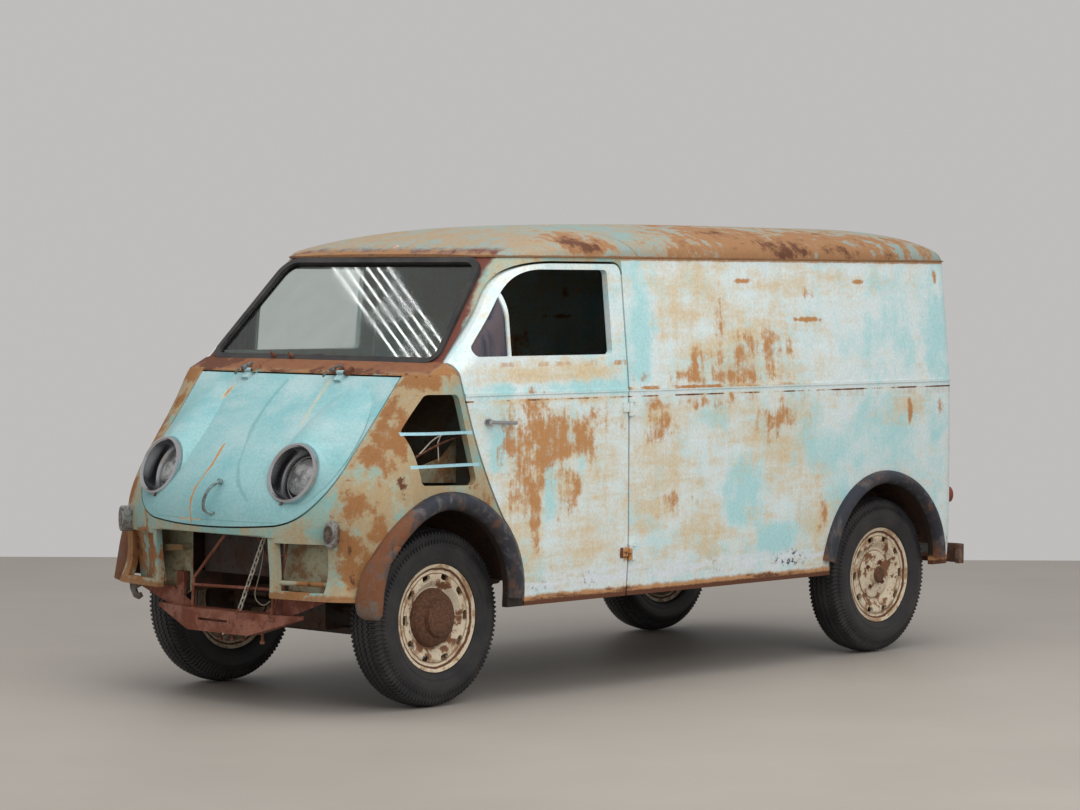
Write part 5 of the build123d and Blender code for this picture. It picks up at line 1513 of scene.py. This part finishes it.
def build_bow_handle(material):
    """The hood's bow handle with its two feet."""
    pad = [(-0.010, 0.012), (0.004, 0.012), (0.007, 0.009)]
    top = turned(pad, at(0.048, -0.505, 0.900), (0.0, -0.93, 0.36), 16)
    foot = turned(pad, at(0.050, -0.533, 0.770), (0.0, -0.99, 0.1), 16)
    bow = bent(BOW_HANDLE, 0.0066, 12)
    piece = mesh_piece("bow_handle", [bow, top, foot], material, "hood")
    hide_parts("hood_handle")


def build_ring_screws(material):
    """The rusty clamp screw under each lamp ring."""
    profile = [(-0.016, 0.004), (0.0, 0.004), (0.002, 0.007), (0.008, 0.007)]
    screws = [turned(profile, at(x, -0.474, 0.826), (0.0, -0.55, -0.83), 8) for x in (-0.384, 0.384)]
    mesh_piece("lamp_ring_screws", screws, material, "hood", smooth=False)


def build_wipers(material):
    """The bare spindles of the wipers at the windscreen's foot."""
    profile = [(-0.012, 0.010), (0.004, 0.010), (0.006, 0.006), (0.020, 0.005), (0.021, 0.003)]
    spindles = [turned(profile, at(x, 0.087, 1.394), (0.0, -0.659, 0.752), 12) for x in (-0.28, -0.17)]
    mesh_piece("wiper_spindles", spindles, material, "body")


# ---------------------------------------------------------------- operators
GROUPS = (
    make_soft_patch,
    make_thin_line,
    make_streaks,
    make_blotches,
    make_level_band,
    make_rust_over_paint,
    make_dust,
)
NOSE_IRONS = ("front_crossmember", "brace_rods")
UNDERSIDE = ("chassis_frame", "front_axle", "rear_axle", "left_knuckle", "right_knuckle", "wheel_housings")
# each finish's name, light, dark and deep colours, share of dark, blotch scale and metallic, then its nodes
IRONS = (
    (("frame_steel", (58, 50, 46), (84, 58, 44), (36, 28, 26), 0.5), UNDERSIDE),
    (("nose_iron_rust", (142, 92, 74), (112, 62, 46), (72, 46, 40), 0.55), NOSE_IRONS),
    (("bumper_rust", (118, 96, 82), (86, 62, 50), (50, 38, 34), 0.55), ("rear_bumper", "exhaust")),
    (("chain_steel", (178, 172, 160), (134, 96, 72), (78, 62, 54), 0.40, 12.0, 0.2), ("front_chain",)),
    (("engine_iron", (52, 48, 44), (70, 50, 40), (28, 26, 24), 0.5), ("engine",)),
)


class VAN_OT_effects(bpy.types.Operator):
    """Make the shader groups that the finishes share."""

    bl_idname = "van.effects"
    bl_label = "Shared effects"

    def execute(self, context):
        for make in GROUPS:
            make()
        return {"FINISHED"}


class VAN_OT_body_finish(bpy.types.Operator):
    """Paint the body, doors, nose, hood and roof."""

    bl_idname = "van.body_finish"
    bl_label = "Body paint"

    def execute(self, context):
        dress(side_paint(), "body_shell", "left_door", "right_door", "rear_door")
        dress(nose_paint(), "front_panel")
        dress(hood_paint(), "hood")
        dress(roof_paint(), "roof")
        dress(lip_paint(), "wheel_arch_lips")
        return {"FINISHED"}


class VAN_OT_metal_finish(bpy.types.Operator):
    """Finish the chassis, axles, nose irons, bumper, chain and bright parts."""

    bl_idname = "van.metal_finish"
    bl_label = "Metal parts"

    def execute(self, context):
        for finish, nodes in IRONS:
            dress(worn_metal(*finish), *nodes)
        dress(chrome(), "left_door_handle", "right_door_handle", "rear_door_handle")
        dress(lamp_metal(), "headlights")
        dress(signal_finish(), "turn_signals")
        dress(lens_glass("rear_lens", (120, 34, 26)), "rear_lamps")
        return {"FINISHED"}


class VAN_OT_cab_finish(bpy.types.Operator):
    """Finish the cab's floor, dashboard, glass and controls."""

    bl_idname = "van.cab_finish"
    bl_label = "Cab and glass"

    def execute(self, context):
        floor = worn_metal("floor_paint", (84, 92, 86), (92, 70, 52), (46, 40, 36), 0.5, 5.0)
        dress(floor, "floor_pan")
        dashboard = worn_metal("dashboard_paint", (112, 140, 136), (120, 100, 74), (60, 50, 42), 0.45, 7.0)
        dress(dashboard, "dashboard")
        dress(dusty("control_black", (30, 30, 32), (92, 84, 76), 0.3), "steering_column", "steering_wheel")
        dress(glass("windscreen_glass", (214, 226, 222), 0.01), "windscreen")
        dress(glass("rear_glass", (214, 226, 222), 0.02), "rear_window")
        dress(old_glass(), "left_vent_glass", "right_vent_glass")
        dress(dusty("seal_rubber", (38, 38, 40), (96, 90, 86), 0.35), "windscreen_seal")
        return {"FINISHED"}


class VAN_OT_wheels(bpy.types.Operator):
    """Paint the wheels and build the treaded tyres."""

    bl_idname = "van.wheels"
    bl_label = "Wheels and tyres"

    def execute(self, context):
        rubber = dusty("tyre_rubber", (36, 37, 40), (98, 90, 82), 0.22)
        for end, axle, hub in (("front", AXLE_Y, 0.121), ("rear", REAR_AXLE_Y, 0.040)):
            for side, _ in SIDES:
                corner = f"{end}_{side}"
                dress(wheel_paint(f"{corner}_wheel_paint", axle, hub), f"{corner}_wheel")
                build_tyre(f"{corner}_treaded_tyre", f"{corner}_wheel", f"{corner}_tyre", rubber)
        return {"FINISHED"}


class VAN_OT_cushions(bpy.types.Operator):
    """Build the bench's seat and back cushions."""

    bl_idname = "van.cushions"
    bl_label = "Bench cushions"

    def execute(self, context):
        hide = leather("seat_hide", (70, 48, 36))
        ahead = Vector((0.0, -1.0, 0.0))
        cushion("seat_cushion", at(0.0, 0.800, 0.768), (1.170, 0.470, 0.128), ahead, UP, 0.014, hide)
        cushion("back_cushion", at(0.0, 1.046, 1.000), (1.170, 0.540, 0.092), UP, ahead, 0.012, hide)
        return {"FINISHED"}


class VAN_OT_small_parts(bpy.types.Operator):
    """Add the wires, bolts, plates, nuts and lamp glasses."""

    bl_idname = "van.small_parts"
    bl_label = "Small parts"

    def execute(self, context):
        rusty = worn_metal("bolt_rust", (124, 84, 66), (96, 58, 44), (60, 40, 34), 0.55, 30.0)
        build_vent_wires(dusty("pale_wire", (196, 190, 178), (120, 104, 88), 0.4), rusty)
        build_nose_bolts(rusty)
        build_lip_flare(bpy.data.materials["lip_paint"])
        build_hinge_plate(rusty)
        base = worn_metal("lamp_base", (190, 160, 146), (150, 110, 92), (96, 70, 58), 0.5, 40.0)
        build_roof_lamp_base(base)
        build_wheel_nuts(rusty)
        bright = lamp_glass()
        for side, sign in SIDES:
            build_lamp_lens(side, sign, bright)
        build_hinge_arms(worn_metal("hinge_steel", (112, 118, 118), (92, 84, 76), (52, 48, 46), 0.5, 40.0))
        build_wipers(rusty)
        cream = worn_metal("inner_nose_paint", (158, 156, 130), (132, 100, 68), (84, 62, 46), 0.46, 11.0)
        steel = worn_metal("hook_steel", (112, 110, 106), (98, 84, 74), (60, 52, 48), 0.5, 24.0)
        cable = dusty("cable_wire", (132, 122, 108), (104, 88, 72), 0.3)
        build_nose_panels(cream, rusty, steel, cable)
        build_bow_handle(worn_metal("handle_steel", (118, 142, 142), (98, 100, 98), (58, 58, 58), 0.5, 30.0))
        build_ring_screws(rusty)
        return {"FINISHED"}


# ---------------------------------------------------------------- camera, light and floor
FLOOR_NEAR, FLOOR_FAR, FLOOR_HALF = -14.0, 5.7, 12.0
FILL_LIGHT = (0.62, 0.62, 0.62)
STRIP_X = (-4.42, -4.32, -4.23, -4.14, -4.05, -3.96)
STRIP_Y = (0.02, 0.02, 0.02, 0.03, 0.03, 0.03)
STRIP_HEIGHT = 5.6
STRIP_RUN = Vector((0.53, -0.60, 0.0))


def camera_axes(settings):
    """The camera's right, its up and the way opposite to its line of sight."""
    turn, drop, roll = settings.camera_turn, settings.camera_drop, settings.camera_roll
    forward = Vector((-math.sin(turn) * math.cos(drop), math.cos(turn) * math.cos(drop), -math.sin(drop)))
    level = Vector((math.cos(turn), math.sin(turn), 0.0))
    upright = level.cross(forward)
    right = level * math.cos(roll) + upright * math.sin(roll)
    up = upright * math.cos(roll) - level * math.sin(roll)
    return right, up, -forward


def make_camera(settings):
    """The camera, at its place and turn."""
    camera = bpy.data.objects.new("camera", bpy.data.cameras.new("camera"))
    bpy.context.scene.collection.objects.link(camera)
    place = Vector(settings.camera_place) + Vector((0.0, BODY_Y, 0.0))
    camera.matrix_world = Matrix.Translation(place) @ Matrix(camera_axes(settings)).transposed().to_4x4()
    camera.data.sensor_width = 36.0
    camera.data.lens = settings.lens
    camera.data.clip_end = 200.0
    bpy.context.scene.camera = camera


def make_floor(settings):
    """A plain pale floor, seen through from below."""
    material, tree, shader, place = new_material("floor_finish")
    cloud = tree.ramp(tree.noise(place, 0.8, 5.0, 0.6), 0.35, 0.65)
    colour = tree.mix(cloud, solid(settings.floor_colour), shaded(settings.floor_colour, 0.94))
    tree.feed(shader.inputs["Base Color"], colour)
    shader.inputs["Roughness"].default_value = 0.55
    shader.inputs["Specular IOR Level"].default_value = 0.3
    shown = tree.node("ShaderNodeMixShader")
    tree.feed(shown.inputs[0], tree.node("ShaderNodeNewGeometry").outputs["Backfacing"])
    tree.feed(shown.inputs[1], shader.outputs[0])
    tree.feed(shown.inputs[2], tree.node("ShaderNodeBsdfTransparent").outputs[0])
    tree.feed(material.node_tree.nodes["Material Output"].inputs["Surface"], shown.outputs[0])
    turn = settings.camera_turn
    along = Vector((-math.sin(turn), math.cos(turn), 0.0))
    side = Vector((along.y, -along.x, 0.0)) * FLOOR_HALF
    near, far = along * FLOOR_NEAR, along * FLOOR_FAR
    mesh = bpy.data.meshes.new("floor")
    mesh.from_pydata([near - side, near + side, far + side, far - side], [], [(0, 1, 2, 3)])
    mesh.materials.append(material)
    floor = bpy.data.objects.new("floor", mesh)
    bpy.context.scene.collection.objects.link(floor)


def make_world(settings):
    """A pale background for the camera and reflections, and a soft fill for everything else."""
    world = bpy.data.worlds.new("studio")
    world.use_nodes = True
    bpy.context.scene.world = world
    tree = Tree(world.node_tree)
    background = world.node_tree.nodes["Background"]
    path = tree.node("ShaderNodeLightPath").outputs
    shown = tree.any_of(path["Is Camera Ray"], path["Is Glossy Ray"], path["Is Transmission Ray"])
    tree.feed(background.inputs["Color"], tree.mix(shown, solid(FILL_LIGHT), solid(settings.wall_colour)))
    background.inputs["Strength"].default_value = 1.0


def area_light(name, place, aim, width, height, watts):
    """One soft light that the camera doesn't see."""
    data = bpy.data.lights.new(name, "AREA")
    data.shape = "RECTANGLE"
    data.size = width
    data.size_y = height
    data.energy = watts
    light = bpy.data.objects.new(name, data)
    bpy.context.scene.collection.objects.link(light)
    light.location = place
    light.rotation_mode = "QUATERNION"
    light.rotation_quaternion = (aim - place).to_track_quat("-Z", "Y")
    light.visible_camera = False
    return light


def make_lights():
    """A broad light overhead, a weaker one at the side and the strip lamps that the windscreen shows."""
    middle = Vector((0.0, 0.0, 1.0))
    area_light("overhead", Vector((1.5, -1.0, 6.5)), middle, 7.0, 7.0, 290.0).visible_glossy = False
    area_light("side_fill", Vector((8.0, -4.0, 4.5)), middle, 5.0, 4.0, 260.0).visible_glossy = False
    for x, y in zip(STRIP_X, STRIP_Y):
        place = Vector((x, BODY_Y + y, STRIP_HEIGHT)) + STRIP_RUN / 2
        strip = area_light("strip", place, place - UP, 0.018, STRIP_RUN.length * 1.3, 0.55)
        strip.rotation_mode = "XYZ"
        strip.rotation_euler = (0.0, 0.0, math.atan2(STRIP_RUN.y, STRIP_RUN.x) - math.pi / 2)


class VAN_OT_stage(bpy.types.Operator):
    """Set the camera, lights, floor and background."""

    bl_idname = "van.stage"
    bl_label = "Camera, light and floor"

    def execute(self, context):
        settings = context.scene.van_stage
        make_camera(settings)
        context.scene.view_settings.view_transform = "Standard"
        make_floor(settings)
        make_world(settings)
        make_lights()
        return {"FINISHED"}


class VAN_PT_panel(bpy.types.Panel):
    """Lists the van's steps and settings."""

    bl_label = "Delivery van"
    bl_idname = "VAN_PT_panel"
    bl_space_type = "VIEW_3D"
    bl_region_type = "UI"
    bl_category = "Van"

    def draw(self, context):
        for operator in OPERATORS:
            self.layout.operator(operator.bl_idname)
        for group in (context.scene.van_paint, context.scene.van_tyres, context.scene.van_stage):
            box = self.layout.box()
            for name in group.__annotations__:
                box.prop(group, name)


OPERATORS = (
    VAN_OT_effects,
    VAN_OT_body_finish,
    VAN_OT_metal_finish,
    VAN_OT_cab_finish,
    VAN_OT_wheels,
    VAN_OT_cushions,
    VAN_OT_small_parts,
    VAN_OT_stage,
)
SETTINGS = (VanPaintSettings, VanTyreSettings, VanStageSettings)


def register():
    """Adds the settings, operators and panel to Blender."""
    for item in (*SETTINGS, *OPERATORS, VAN_PT_panel):
        bpy.utils.register_class(item)
    bpy.types.Scene.van_paint = bpy.props.PointerProperty(type=VanPaintSettings)
    bpy.types.Scene.van_tyres = bpy.props.PointerProperty(type=VanTyreSettings)
    bpy.types.Scene.van_stage = bpy.props.PointerProperty(type=VanStageSettings)


def unregister():
    """Takes the settings, operators and panel out of Blender."""
    del bpy.types.Scene.van_stage
    del bpy.types.Scene.van_tyres
    del bpy.types.Scene.van_paint
    for item in reversed((*SETTINGS, *OPERATORS, VAN_PT_panel)):
        bpy.utils.unregister_class(item)


def main():
    """Builds the whole van."""
    register()
    bpy.ops.van.effects()
    bpy.ops.van.body_finish()
    bpy.ops.van.metal_finish()
    bpy.ops.van.cab_finish()
    bpy.ops.van.wheels()
    bpy.ops.van.cushions()
    bpy.ops.van.small_parts()
    bpy.ops.van.stage()


if __name__ == "__main__":
    main()
